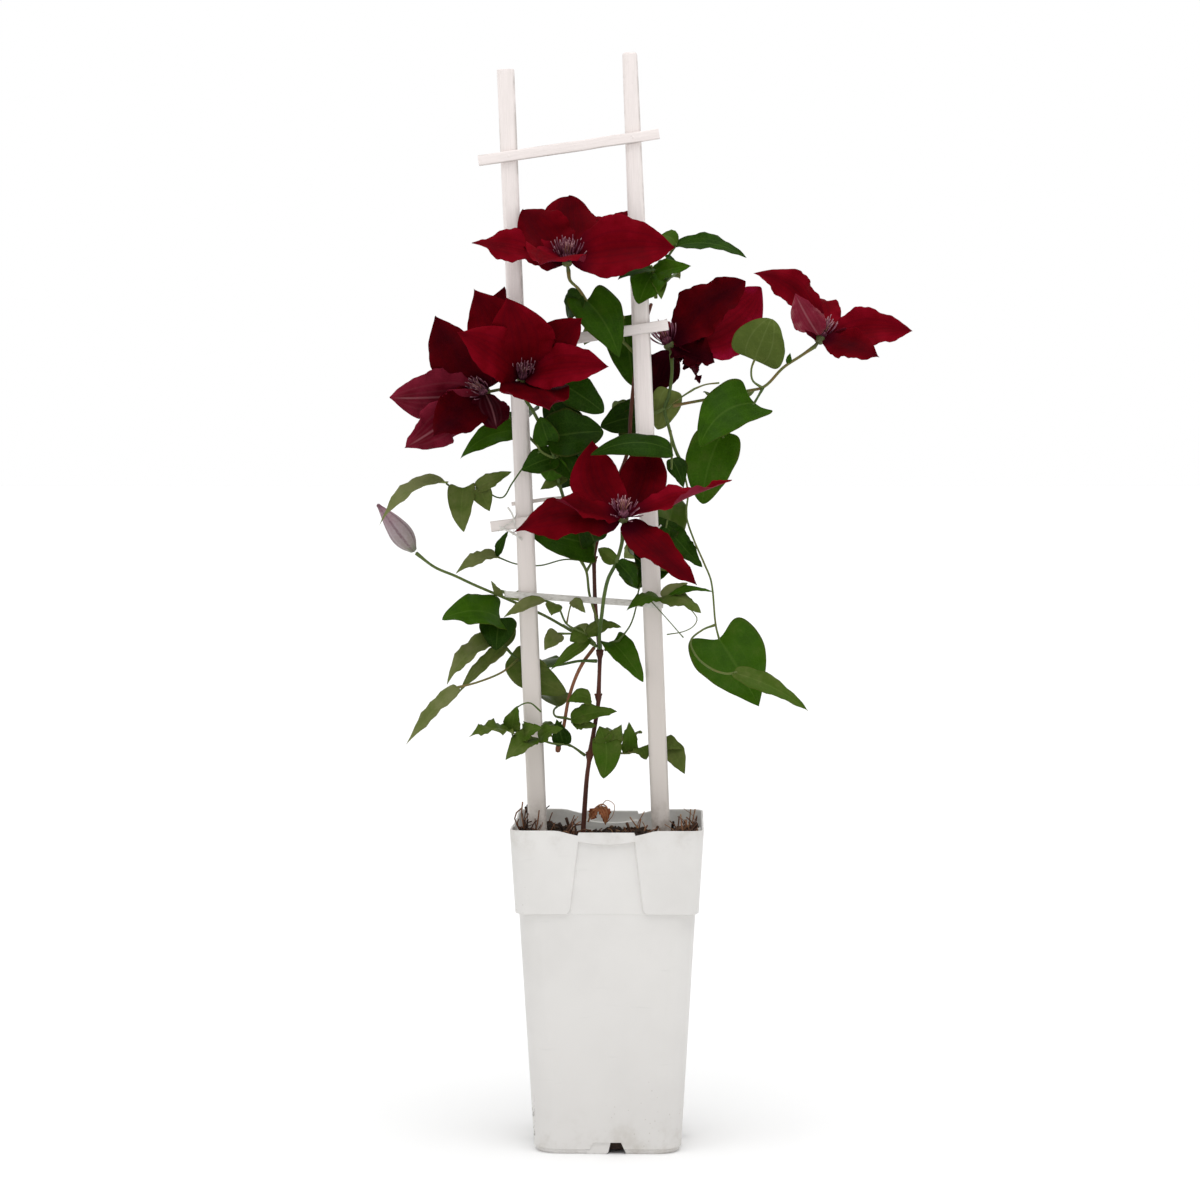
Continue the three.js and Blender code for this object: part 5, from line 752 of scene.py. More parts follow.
class Look:
    """One finish: a Principled shader, and the nodes that work out its colour, roughness and relief."""

    def __init__(self, name, gloss, **sockets):
        self.material = bpy.data.materials.new(name)
        self.material.use_nodes = True
        self.nodes, self.links = self.material.node_tree.nodes, self.material.node_tree.links
        self.nodes.clear()
        self.shader = self.nodes.new("ShaderNodeBsdfPrincipled")
        output = self.nodes.new("ShaderNodeOutputMaterial")
        self.links.new(self.shader.outputs["BSDF"], output.inputs["Surface"])
        for socket, value in {"Specular_IOR_Level": gloss, **sockets}.items():
            self.feed(self.shader.inputs[socket.replace("_", " ")], value)

    def feed(self, socket, value):
        """Gives a socket a value: another node's output, a number, a colour or a web code."""
        if isinstance(value, bpy.types.NodeSocket):
            self.links.new(value, socket)
        else:
            socket.default_value = paint(value) if isinstance(value, str) else value

    def node(self, kind, inputs=(), **settings):
        """A new node with its settings and its inputs, which are given by number or name."""
        made = self.nodes.new("ShaderNode" + kind)
        for setting, value in settings.items():
            setattr(made, setting, value)
        for key, value in dict(inputs).items():
            self.feed(made.inputs[key], value)
        return made

    def sum(self, operation, a, b=0.0, c=0.0):
        """One step of arithmetic."""
        return self.node("Math", {0: a, 1: b, 2: c}, operation=operation).outputs[0]

    def times(self, a, b):
        return self.sum("MULTIPLY", a, b)

    def plus(self, a, b):
        return self.sum("ADD", a, b)

    def ease(self, value, low, high, to_low=0.0, to_high=1.0):
        """Takes value from low..high to to_low..to_high with soft ends."""
        made = self.node("MapRange", {0: value, 1: low, 2: high, 3: to_low, 4: to_high})
        made.interpolation_type = "SMOOTHSTEP"
        return made.outputs[0]

    def fade(self, value, low, high):
        """1 below low, easing to 0 at high."""
        return self.ease(value, low, high, 1, 0)

    def stir(self, value, noise, size):
        """The value with the noise's swing about its middle added, size wide."""
        return self.plus(value, self.times(self.plus(noise, -0.5), size))

    def mix(self, share, a, b, way="MIX"):
        """Two colours mixed by share."""
        made = self.node("Mix", {0: share, 6: a, 7: b}, data_type="RGBA", blend_type=way)
        return made.outputs[2]

    def ramp(self, value, *stops):
        """A colour ramp through (place, web colour) stops."""
        made = self.node("ValToRGB", {0: value})
        marks = made.color_ramp.elements
        while len(marks) < len(stops):
            marks.new(0.5)
        for mark, (at, code) in zip(marks, stops):
            mark.position, mark.color = at, paint(code)
        return made.outputs[0]

    def vector(self, name):
        """The three numbers of one of the mesh's own vectors."""
        made = self.node("Attribute", attribute_name=name, attribute_type="GEOMETRY")
        return self.node("SeparateXYZ", {0: made.outputs["Vector"]}).outputs

    def spot(self, scale=(1, 1, 1)):
        """The point on the object, stretched."""
        where = self.node("TexCoord").outputs["Object"]
        return self.node("Mapping", {"Vector": where, "Scale": scale}).outputs[0]

    def noise(self, scale, detail=2, rough=0.5, stretch=(1, 1, 1)):
        made = self.node("TexNoise", {"Vector": self.spot(stretch), "Scale": scale, "Detail": detail,
                                      "Roughness": rough})
        return made.outputs[0]

    def cells(self, scale, feature="F1"):
        made = self.node("TexVoronoi", {"Vector": self.spot(), "Scale": scale}, feature=feature)
        return made.outputs["Distance"]

    def colour(self, value):
        self.feed(self.shader.inputs["Base Color"], value)

    def roughness(self, value):
        self.feed(self.shader.inputs["Roughness"], value)

    def rough(self, noise, low, high):
        """Roughness from low to high with the noise."""
        self.roughness(self.ease(noise, 0.3, 0.7, low, high))

    def finish(self, *relief):
        """Adds relief from (millimetres at 1, value) parts, and gives the finished material."""
        steps = [self.times(value, size * MM) for size, value in relief]
        if steps:
            total = reduce(self.plus, steps)
            made = self.node("Bump", {"Height": total, "Strength": 1.0, "Distance": 1.0})
            self.links.new(made.outputs[0], self.shader.inputs["Normal"])
        return self.material


def leaf_look(leaf_green):
    """Leaf skin. The vector place gives the nearest nerve's distance in millimetres, the side veins' phase
    and which side it is. The vector shape gives the places across and along, and the leaf's tone, which also
    paints light and shade."""
    look = Look("clematis_leaf", 0.035)
    nerve, phase, side = look.vector("place")
    across, _, tone = look.vector("shape")
    mottle = look.noise(90, 4, 0.6)
    fine = look.noise(900)
    shade = look.stir(tone, mottle, 0.45)
    upper = look.ramp(shade, (0, "#0f1e03"), (0.3, "#1e3805"), (0.55, "#305106"), (0.72, "#42561a"),
                      (0.86, "#586330"), (1, "#6c7046"))
    upper = look.mix(1, upper, leaf_green, "MULTIPLY")
    strayed = look.plus(phase, look.times(look.noise(260), 1.3))
    vein = look.sum("ABSOLUTE", look.sum("SINE", look.times(strayed, math.pi)))
    side_veins = look.fade(vein, 0, 0.2)
    ribs = look.fade(nerve, 0.12, 0.75)
    mesh = look.fade(look.cells(620, "DISTANCE_TO_EDGE"), 0, 0.14)
    rim = look.ease(look.sum("ABSOLUTE", across), 0.9, 1)
    spine = look.fade(look.sum("ABSOLUTE", across), 0.02, 0.07)
    thin = look.sum("MAXIMUM", look.times(ribs, 0.02), look.times(side_veins, 0.02))
    lines = look.plus(look.times(spine, 0.07), thin)
    upper = look.mix(lines, upper, "#7f9a48")
    upper = look.mix(look.times(mesh, 0.05), upper, "#65883a")
    upper = look.mix(look.times(rim, 0.1), upper, "#7b4a35")
    blotch = look.ease(look.noise(38, 3, 0.6), 0.6, 0.78)
    upper = look.mix(look.times(blotch, look.ease(tone, 0.5, 1, 0.05, 0.22)), upper, "#7f7640")
    under = look.ramp(shade, (0, "#3b4a20"), (0.5, "#4d5b26"), (1, "#747f42"))
    under = look.mix(look.times(look.sum("MAXIMUM", ribs, look.times(side_veins, 0.5)), 0.09), under,
                     "#98a36c")
    look.colour(look.mix(side, under, upper))
    look.roughness(look.plus(look.times(fine, 0.16), look.ease(side, 0, 1, 0.6, 0.3)))
    puff = look.ease(look.cells(620, "DISTANCE_TO_EDGE"), 0, 0.3)
    return look.finish((0.03, puff), (-0.02, side_veins), (-0.01, ribs), (0.03, fine))


def stalk_look():
    """Young stalks: green, flushed with reddish brown on some, finely ribbed."""
    look = Look("clematis_stalk", 0.16)
    tone = look.vector("shape")[2]
    mottle = look.noise(120, 3, 0.6, (1, 1, 0.3))
    flush = look.stir(look.times(tone, 0.55), mottle, 0.8)
    look.colour(look.ramp(flush, (0, "#44582a"), (0.4, "#5f6c36"), (0.65, "#7a5f3a"), (1, "#6d3326")))
    look.rough(mottle, 0.42, 0.58)
    return look.finish((0.05, look.noise(1100, 2, 0.5, (1, 1, 0.2))))


def petal_look(petal_red):
    """Velvety petal: dark at its foot and along its ribs, brighter to the margin, with pale bars behind."""
    look = Look("clematis_petal", 0.01)
    nerve, cross, side = look.vector("place")
    across, along, tone = look.vector("shape")
    edge = look.sum("ABSOLUTE", across)
    cloud = look.noise(70, 4, 0.6)
    streak, fine = (
        look.sum("SINE", look.plus(look.times(cross, 2 * math.pi / step), look.times(cloud, stray)))
        for step, stray in ((1.25, 9), (0.55, 14))
    )
    shade = look.stir(tone, cloud, 0.55)
    shade = look.stir(shade, edge, 0.16)
    shade = look.plus(shade, look.times(streak, 0.018))
    front = look.ramp(shade, (0, "#240208"), (0.3, "#470208"), (0.55, "#64030e"), (0.78, "#7c081a"),
                      (1, "#a01440"))
    front = look.mix(1, front, petal_red, "MULTIPLY")
    foot = look.ease(along, 0.05, 0.3, 0.75, 0)
    front = look.mix(foot, front, "#2a0210")
    front = look.mix(look.ease(nerve, 0.1, 1.4, 0.2, 0), front, "#3a0210")
    bar = look.times(look.fade(nerve, 0.1, 1.2), look.ease(edge, 0.05, 0.14, 1, 0.12))
    bar = look.times(bar, look.ease(along, 0.8, 1, 0.9, 0.2))
    back = look.ramp(shade, (0, "#33030d"), (0.45, "#5a0c1b"), (0.8, "#7e2436"), (1, "#a06a6c"))
    back = look.mix(look.times(bar, 0.42), back, "#a87076")
    back = look.mix(look.times(look.ease(fine, 0, 1), 0.12), back, "#4a0815")
    look.colour(look.mix(side, back, front))
    look.rough(cloud, 0.5, 0.66)
    return look.finish((0.008, streak), (0.004, fine), (0.05, look.noise(1500, 2, 0.6)))


def boss_look():
    """Stamens: dark plum at the foot and dusky pink to the tip; styles: brown to a pale pink."""
    look = Look("clematis_stamen", 0.1)
    kind, along, tone = look.vector("shape")
    grain = look.noise(1400)
    thread = look.ramp(look.stir(along, tone, 0.25), (0, "#24040e"),
                       (0.35, "#4a1a2a"), (0.65, "#845062"), (0.85, "#74404f"), (1, "#a88088"))
    style = look.ramp(along, (0, "#6a3430"), (0.6, "#b07c6c"), (1, "#c8969a"))
    look.colour(look.mix(kind, thread, style))
    look.rough(grain, 0.5, 0.75)
    return look.finish((0.06, grain))


def receptacle_look():
    """The seat that petals grow from, and the neck below it: a dull olive green."""
    look = Look("clematis_receptacle", 0.35)
    mottle = look.noise(260, 3, 0.6)
    look.colour(look.ramp(mottle, (0.3, "#3f4426"), (0.55, "#565c30"), (0.8, "#6c7238")))
    look.rough(mottle, 0.5, 0.7)
    return look.finish((0.1, mottle))


def bark_look(name, *stops):
    """Bark: streaks along the stem from dark to pale, fibrous relief."""
    look = Look(name, 0.3)
    streaks = look.noise(260, 5, 0.65, (1, 1, 0.12))
    patches = look.noise(60, 3, 0.6, (1, 1, 0.5))
    tone = look.vector("shape")[2]
    shade = look.plus(look.times(streaks, 0.75), look.times(patches, 0.45))
    shade = look.stir(look.plus(shade, -0.2), tone, 0.3)
    look.colour(look.ramp(shade, *stops))
    look.rough(streaks, 0.62, 0.85)
    return look.finish((0.35, streaks), (0.12, look.noise(900, 2, 0.5, (1, 1, 0.3))))


def dry_look():
    """Withered leaf and stalk: papery brown, darker in its creases."""
    look = Look("withered_brown", 0.25)
    nerve = look.vector("place")[0]
    cloud = look.noise(220, 4, 0.65)
    brown = look.ramp(cloud, (0.25, "#4a2716"), (0.5, "#84492b"), (0.75, "#b87c54"))
    look.colour(look.mix(look.ease(nerve, 0.05, 0.5, 0.35, 0), brown, "#b08c60"))
    look.rough(cloud, 0.6, 0.85)
    return look.finish((0.3, cloud), (0.1, look.noise(1200)))


def pot_look(pot_colour):
    """Plastic: pale grey with faint clouds, scuffs, brown specks and dust near the ground and soil, and
    painted shade that darkens it low down.
    """
    look = Look("pot_plastic", 0.45)
    cloud = look.noise(14, 4, 0.55)
    flow = look.noise(30, 3, 0.6, (1, 1, 0.15))
    base = look.mix(look.ease(cloud, 0.35, 0.7, 0, 0.5), pot_colour, "#cccac7")
    base = look.mix(look.ease(flow, 0.5, 0.75, 0, 0.25), base, "#dad8d4")
    x, y, z = look.node("SeparateXYZ", {0: look.spot()}).outputs
    # Painted shade: the plastic greys from 0.2 m down to the foot, as less light reaches it.
    base = look.mix(look.ease(z, 0, 0.2, 0.5, 0), base, "#cecbc8")
    speck = look.fade(look.cells(260), 0.05, 0.16)
    place = look.ease(look.noise(11), 0.57, 0.66)
    base = look.mix(look.times(look.times(speck, place), 0.3), base, "#7a6a52")
    left_edge = look.times(look.fade(x, -0.0495, -0.0485), look.fade(y, -0.037, -0.031))
    left_foot = look.times(look.ease(z, 0.004, 0.012), look.fade(z, 0.022, 0.042))
    grime = look.ease(look.noise(340, 4, 0.7), 0.5, 0.62, 0, 0.8)
    base = look.mix(look.times(look.times(left_edge, left_foot), grime), base, "#3a2d22")
    dust = look.ease(look.noise(55, 4, 0.7), 0.45, 0.75)
    low = look.ease(z, 0, 0.035, 0.30, 0)
    high = look.ease(z, 0.2, 0.219, 0, 0.22)
    base = look.mix(look.times(dust, look.plus(low, high)), base, "#8d8069")
    scuff = look.ease(look.noise(190, 2, 0.5, (0.15, 0.15, 1)), 0.68, 0.78, 0, 0.18)
    look.colour(look.mix(scuff, base, "#b9bab5"))
    grain = look.noise(1300)
    look.roughness(look.plus(look.ease(cloud, 0.3, 0.7, 0.36, 0.48), look.times(dust, 0.08)))
    return look.finish((0.02, grain), (0.12, flow))


def soil_look():
    """Potting soil: near-black to brown, each crumb with its own tone, damp and grainy."""
    look = Look("potting_soil", 0.3)
    tone = look.vector("shape")[2]
    grit = look.noise(420, 5, 0.7)
    shade = look.plus(look.times(tone, 0.55), look.times(grit, 0.6))
    look.colour(look.ramp(shade, (0.2, "#0f0a07"), (0.5, "#2a1d14"), (0.78, "#4a3524"), (1, "#7b6046")))
    look.rough(grit, 0.75, 0.95)
    return look.finish((0.5, grit), (0.15, look.noise(1500, 2, 0.6)))


def straw_look():
    """Dry root ends, sticks and straws: from dark reddish brown to pale straw."""
    look = Look("dry_straw", 0.3)
    tone = look.vector("shape")[2]
    streaks = look.noise(500, 3, 0.6, (1, 1, 0.2))
    shade = look.stir(look.times(tone, 0.8), streaks, 0.6)
    look.colour(look.ramp(shade, (0.1, "#24160e"), (0.4, "#4c2d1b"), (0.7, "#7a5236"), (1, "#b4926a")))
    look.rough(streaks, 0.6, 0.8)
    return look.finish((0.12, streaks))


def painted_wood_look(trellis_colour):
    """Painted slats. The vector place gives millimetres across and along, so the grain runs with each slat.
    Painted shade greys the paint low down, under the leaves, and along the right edges in patches like wear.
    The left edges are rubbed grey in patches, and the paint is dusty near the soil."""
    look = Look("trellis_paint", 0.45)
    made = look.node("Attribute", attribute_name="place", attribute_type="GEOMETRY")
    stretched = look.node("Mapping", {"Vector": made.outputs["Vector"], "Scale": (1, 0.035, 1)})
    settings = {"Vector": stretched.outputs[0], "Scale": 1.6, "Detail": 5.0, "Roughness": 0.6}
    grain = look.node("TexNoise", settings).outputs[0]
    across = look.vector("shape")[0]
    cloud = look.noise(22, 4, 0.6)
    _, _, z = look.node("SeparateXYZ", {0: look.spot()}).outputs
    # Painted shade: the paint greys from 0.58 m down to 0.26 m, where the leaves shade the slats.
    base = look.mix(look.fade(z, 0.26, 0.58), trellis_colour, "#cfc7c0")
    base = look.mix(look.ease(grain, 0.35, 0.7, 0, 0.25), base, "#cfc8c2")
    # Painted shade along the slats' right edges, broken up in patches like wear.
    right_edge_shade_and_wear = look.times(look.ease(across, 0.72, 0.98), look.ease(cloud, 0.42, 0.6))
    base = look.mix(look.times(right_edge_shade_and_wear, 0.6), base, "#9b958d")
    left_worn = look.times(look.fade(across, -0.98, -0.8), look.ease(cloud, 0.55, 0.68))
    base = look.mix(look.times(left_worn, 0.45), base, "#a39a8e")
    dirt = look.times(look.fade(z, 0.205, 0.245), look.ease(look.noise(120, 4, 0.7), 0.35, 0.65))
    base = look.mix(look.times(dirt, 0.75), base, "#6b5845")
    chips = look.fade(look.cells(120), 0, 0.12)
    base = look.mix(look.times(chips, look.ease(cloud, 0.55, 0.7, 0, 0.5)), base, "#8b7c6c")
    look.colour(base)
    look.rough(grain, 0.42, 0.6)
    return look.finish((0.18, grain), (0.05, look.noise(900)), (-0.1, chips))


def tie_look():
    """Thin pale plastic of the ties, a little crumpled, greyer where the crumples sink."""
    look = Look("tie_film", 0.5)
    crease = look.noise(240, 4, 0.65, (1, 1, 2.5))
    look.colour(look.ramp(crease, (0.25, "#a8a49b"), (0.5, "#cbc8c1"), (0.8, "#dfddd8")))
    look.rough(crease, 0.35, 0.55)
    return look.finish((0.25, crease))


def bud_look():
    """Bud skin: mauve grey with darker seams and a reddish tip, downy."""
    look = Look("bud_skin", 0.25, Sheen_Weight=0.35, Sheen_Roughness=0.4)
    angle, along, _ = look.vector("shape")
    down = look.noise(700, 3, 0.6)
    rib = look.sum("COSINE", look.times(angle, 12 * math.pi))
    base = look.ramp(along, (0, "#5f6a4a"), (0.14, "#8c817c"), (0.5, "#97868a"), (0.85, "#8a6671"),
                     (1, "#5c2c3a"))
    base = look.mix(look.ease(rib, -1, -0.4, 0.6, 0), base, "#5a3642")
    look.colour(look.mix(look.ease(down, 0.4, 0.7, 0, 0.35), base, "#a79fa2"))
    look.rough(down, 0.6, 0.8)
    return look.finish((0.12, down), (0.08, rib))


def floor_look():
    """The stage: an even, very pale matt grey with the faintest cloud."""
    look = Look("studio_floor", 0.1)
    cloud = look.noise(1.5)
    look.colour(look.mix(look.ease(cloud, 0.3, 0.7, 0, 0.15), "#f6f6f6", "#f0f0f0"))
    look.roughness(0.9)
    return look.finish()


# -------- the plant's pieces

SIZES = ((14, 16, 10), (24, 24, 14), (34, 34, 20), (99, 46, 28))  # a leaf's greatest width, rows, columns
PETAL_ROWS, PETAL_COLUMNS = 60, 34


def grid_for(width):
    """Rows and columns for a leaf of that width."""
    return next((rows, columns) for limit, rows, columns in SIZES if width <= limit)


def rooted(spec, paths):
    """The leaf with its start moved to the nearest point of the stalks, so that it grows out of one."""
    points = np.concatenate(paths)[:, :3]
    start = points[np.linalg.norm(points - spec["start"], axis=1).argmin()]
    back = unit(start - vec(spec["tip"]))
    return {**spec, "start": start + 0.3 * back}


def leafy_spray(name, spray, materials, thickness, seed):
    """One spray: its stalks, and its leaves with their grooved midribs, nerves and waved margins."""
    rng, pile = np.random.default_rng(seed), Pile()
    paths = [stalk(pile, points, radius, rng.uniform(), 1) for points, radius in spray["stalks"]]
    for spec in spray["leaves"]:
        # The spray's tone range carries painted light and shade besides the leaves' own tone.
        tone = spec.get("tone", rng.uniform(*spray["tone_and_shade_range"]))
        blade(pile, rooted(spec, paths), *grid_for(spec["width"]), rng, tone, thickness)
    return put(f"leafy_spray_{name}", pile, materials, [f"spray_{name}"])


def petal_foot(flower, spec, number):
    """Where a petal starts: near the heart, the outer ring of petals a little lower than the inner one."""
    heart = vec(flower["heart"])
    layer = LAYER if number % 2 else -LAYER
    return heart + CLAW * unit(vec(spec["tip"]) - heart) + layer * unit(vec(flower["axis"]))


def neck_foot(heart):
    """Where the flower's own stalk ends: the nearest end of all the sprays' stalks."""
    ends = np.array([points[0] for spray in SPRAYS.values() for points, _ in spray["stalks"]], float)
    return ends[np.linalg.norm(ends - heart, axis=1).argmin()]


def bloom(name, flower, materials, thickness, seed):
    """One flower: six ribbed petals in two layers on a small receptacle, and the neck down to its stalk."""
    rng, pile = np.random.default_rng(seed), Pile()
    for number, spec in enumerate(flower["petals"]):
        tone = spec.get("tone", rng.uniform(0.35, 0.65))
        form = {**spec, "start": petal_foot(flower, spec, number)}
        blade(pile, form, PETAL_ROWS, PETAL_COLUMNS, rng, tone, thickness)
    lump(pile, flower["heart"], flower["axis"], (3.2, 3.8), 0.5, 1, ribs=6, rib=0.08)
    heart = vec(flower["heart"])
    foot = neck_foot(heart)
    stalk(pile, [1.15 * foot - 0.15 * heart, 0.6 * foot + 0.4 * heart, heart], 1.05, 0.5, 1, sides=10, step=1)
    return put(f"petals_{name}", pile, materials, [f"bloom_{name}"])


def filament(pile, root, lean, spin, reach, width, kind, basis, rng):
    """One strand on a quadratic curve that leaves its root along the axis and leans out by the angle lean.
    A stamen widens at its outer half to the anther; a style stays thin."""
    out = np.cos(spin) * basis[0] + np.sin(spin) * basis[1]
    tip = root + reach * (np.cos(lean) * basis[2] + np.sin(lean) * out) + rng.uniform(-0.6, 0.6, 3)
    sweep = min(lean * 1.7, lean + 0.3) if kind == 0 else 0.4 * lean
    bend = root + 0.5 * reach * (np.cos(sweep) * basis[2] + np.sin(sweep) * out)
    bend = bend + rng.uniform(-0.5, 0.5, 3)
    t = np.linspace(0, 1, 12)[:, None]
    path = (1 - t) ** 2 * root + 2 * t * (1 - t) * bend + t**2 * tip
    share = t[:, 0]
    anther = 0.5 * bell(share - 0.72, 0.22) if kind == 0 else 0 * share
    rings = tube(path, width * (0.5 + anther), 6)
    pile.add(rings, shape=marks(rings, kind, share, rng.uniform()), bulge=0.3 * width)


def stamens(name, flower, materials, count, styles, seed):
    """A flower's boss: a ring of stamens leaning out round a tuft of paler styles."""
    rng, pile = np.random.default_rng(seed), Pile()
    axis, heart = unit(vec(flower["axis"])), vec(flower["heart"])
    across = unit(np.cross(axis, (0.3, 0.9, 0.2)))
    basis = (across, np.cross(axis, across), axis)
    lump(pile, heart + 3.5 * axis, axis, (3.4, 3.9), 0.2)
    for number in range(count):
        share = (number + 0.5) / count
        spin = number * GOLDEN_ANGLE
        out = np.cos(spin) * basis[0] + np.sin(spin) * basis[1]
        root = heart + (2.0 + 3.0 * (1 - share)) * axis + (1.6 + 2.6 * share) * out
        lean = flower.get("open", 1) * BOSS.spread * share**0.7 * rng.uniform(0.8, 1.2)
        reach = BOSS.length * rng.uniform(0.84, 1.1) * flower.get("reach", 1)
        filament(pile, root, lean, spin, reach, BOSS.width, 0, basis, rng)
    for number in range(styles):
        share = (number + 0.5) / styles
        spin = number * GOLDEN_ANGLE + 0.4
        out = np.cos(spin) * basis[0] + np.sin(spin) * basis[1]
        root = heart + 5.2 * axis + 1.5 * math.sqrt(share) * out
        reach = BOSS.style_length * rng.uniform(0.85, 1.1)
        filament(pile, root, 0.55 * share, spin, reach, BOSS.style_width, 1, basis, rng)
    return put(f"boss_{name}", pile, materials, [f"stamens_{name}"])


def flower_bud(materials):
    """The bud: a pointed egg with six shallow seams, its tip a little bent."""
    base, tip = vec(BUD.base), vec(BUD.tip)
    length = np.linalg.norm(tip - base)
    share = np.linspace(0, 1, 40)
    radius = np.interp(share, *vec(BUD.profile).T)
    radius = np.convolve(np.pad(radius, 3, mode="edge"), np.ones(7) / 7, "valid")
    path = base + share[:, None] * (tip - base) + np.array(BUD.bend) * (share**3)[:, None]
    sides = 48
    rings = tube(path, radius, sides, 6, 0.035)
    angle = np.linspace(0, 1, sides, endpoint=False)
    pile = Pile()
    pile.add(rings, shape=marks(rings, angle, share, 0.5), bulge=0.02 * length)
    return put("flower_bud", pile, materials, ["bud"])


def woody_stem(name, points, sides, materials, node, seed, nubs=()):
    """A woody stem on a smooth path: shallow ribs run along it and it swells at its knots."""
    rng, pile = np.random.default_rng(seed), Pile()
    path = smooth_path(points, 1.4)
    share = np.linspace(0, 1, len(path))
    rough = 1 + sway(share, rng, 0.05, 24)
    rings = tube(path, path[:, 3] * rough, sides, 5, 0.07)
    pile.add(rings, shape=marks(rings, 0, share, 0.5), bulge=0.5)
    for knot in nubs:
        for turn in (0.6, 3.6):
            aside = np.array([math.cos(turn), math.sin(turn), 0.9])
            lump(pile, knot + 2.1 * unit(aside) * (1, 1, 0.8), aside, (1.9, 1.0), 0.7, sides=8, rows=6)
    return put(name, pile, materials, [node])


def withered_leaf(materials, seed):
    """The brown leaf at the stem's foot: two crumpled halves and the dry stalk that curls over them."""
    rng, pile = np.random.default_rng(seed), Pile()
    for spec in DRY_LEAF:
        blade(pile, spec, 30, 16, rng, rng.uniform(0.3, 0.8))
    for points, radius in DRY_STALKS:
        stalk(pile, points, radius, 0.4, 1, sides=6, step=1)
    return put("withered_leaf", pile, materials, ["dry_leaf"])


# -------- pot, soil and trellis


def body_half(z):
    """Half the width of the pot's body at height z, with the small foot below it."""
    slope = (POT.shoulder_half - POT.base_half) / (POT.shoulder_height - POT.foot_height)
    body = POT.base_half + slope * (z - POT.foot_height)
    bevel = 0.9
    foot = POT.foot_half + bevel * smooth_step(z, 0, 1.6)
    foot = foot + (body - POT.foot_half - bevel) * smooth_step(z, 2.9, 3.5)
    return np.where(z < POT.foot_height, foot, body)


def collar_half(z):
    """Half the width of the collar at height z."""
    slope = (POT.collar_top_half - POT.collar_bottom_half) / (POT.height - POT.collar_bottom)
    return POT.collar_bottom_half + slope * (z - POT.collar_bottom)


def recess_half(z):
    """Half the width of a side's recess at height z: it tapers upwards and flares at the collar's foot."""
    up = z - POT.collar_bottom
    share = np.clip(up / (LIP.low - POT.collar_bottom), 0, 1.06)
    taper = RECESS.bottom_half + (RECESS.top_half - RECESS.bottom_half) * share
    corner = np.clip(1 - up / RECESS.flare, 0, 1)
    return taper + RECESS.flare * (1 - np.sqrt(1 - corner**2))


def wall_rings(heights, inset):
    """Rings round the pot at the heights, inset from its outside. Each side is a row of columns that crowd
    at the recess's edges, and each corner an arc. Across the recess the wall lies near the body, elsewhere
    and on the lip on the collar. Rows sag with the lip's lower edge and dip with the rim on either side."""
    z = np.asarray(heights, float)[:, None]
    in_collar = smooth_step(z, POT.collar_bottom - 0.05, POT.collar_bottom + 0.25)
    corner = np.where(
        z < POT.collar_bottom,
        POT.base_corner + (POT.top_corner - POT.base_corner) * z / POT.height,
        POT.collar_corner,
    )
    edge = recess_half(z)
    flat = body_half(z) + in_collar * (collar_half(z) - body_half(z)) - corner
    inner = np.linspace(-1, 1, 25) * (edge - 0.35)
    step = np.array([-0.1, 0.15, 0.4, 0.75, 1.2])
    outer = (edge + 1.2) + np.linspace(0, 1, 10)[None, 1:] * (flat - edge - 1.2)
    x = np.concatenate([-outer[:, ::-1], -(edge + step)[:, ::-1], inner, edge + step, outer], 1)
    step_share = np.array([0.12, 0.5, 0.82, 0.97, 1.0])
    share = np.concatenate([np.ones(9), step_share[::-1], np.zeros(25), step_share, np.ones(9)])[None]
    share = np.maximum(share, smooth_step(z, LIP.low - 0.05, LIP.low + 0.35))
    share = RECESS.step + (1 - RECESS.step) * share
    depth = body_half(z) + in_collar * share * (collar_half(z) - body_half(z)) - inset
    sag = LIP.sag * np.clip(1 - (x / LIP.half) ** 2, 0, 1)
    below = (z - LIP.start) / (LIP.low - LIP.start)
    above = (LIP.end - z) / (LIP.end - LIP.low)
    rim = np.interp(np.abs(x), [LIP.half, LIP.half + 0.8, LIP.dip_half],
                    [LIP.top, LIP.dip, POT.height])
    dip = np.clip((z - LIP.dip_start) / (POT.height - LIP.dip_start), 0, 1)
    height = z - sag * np.clip(np.minimum(below, above), 0, 1) - (POT.height - rim) * dip
    turn = np.linspace(0, np.pi / 2, 10)[1:-1]
    around = np.maximum(corner - inset, 0.5)
    height = np.concatenate([height, np.broadcast_to(z, (len(z), len(turn)))], 1)
    depth = np.concatenate([depth, flat + around * np.cos(turn)], 1)
    x = np.concatenate([x, flat + around * np.sin(turn)], 1)
    sides = [(x, -depth), (depth, x), (-x, depth), (-depth, -x)]
    return np.concatenate([np.stack([a, b, height], -1) for a, b in sides], 1)


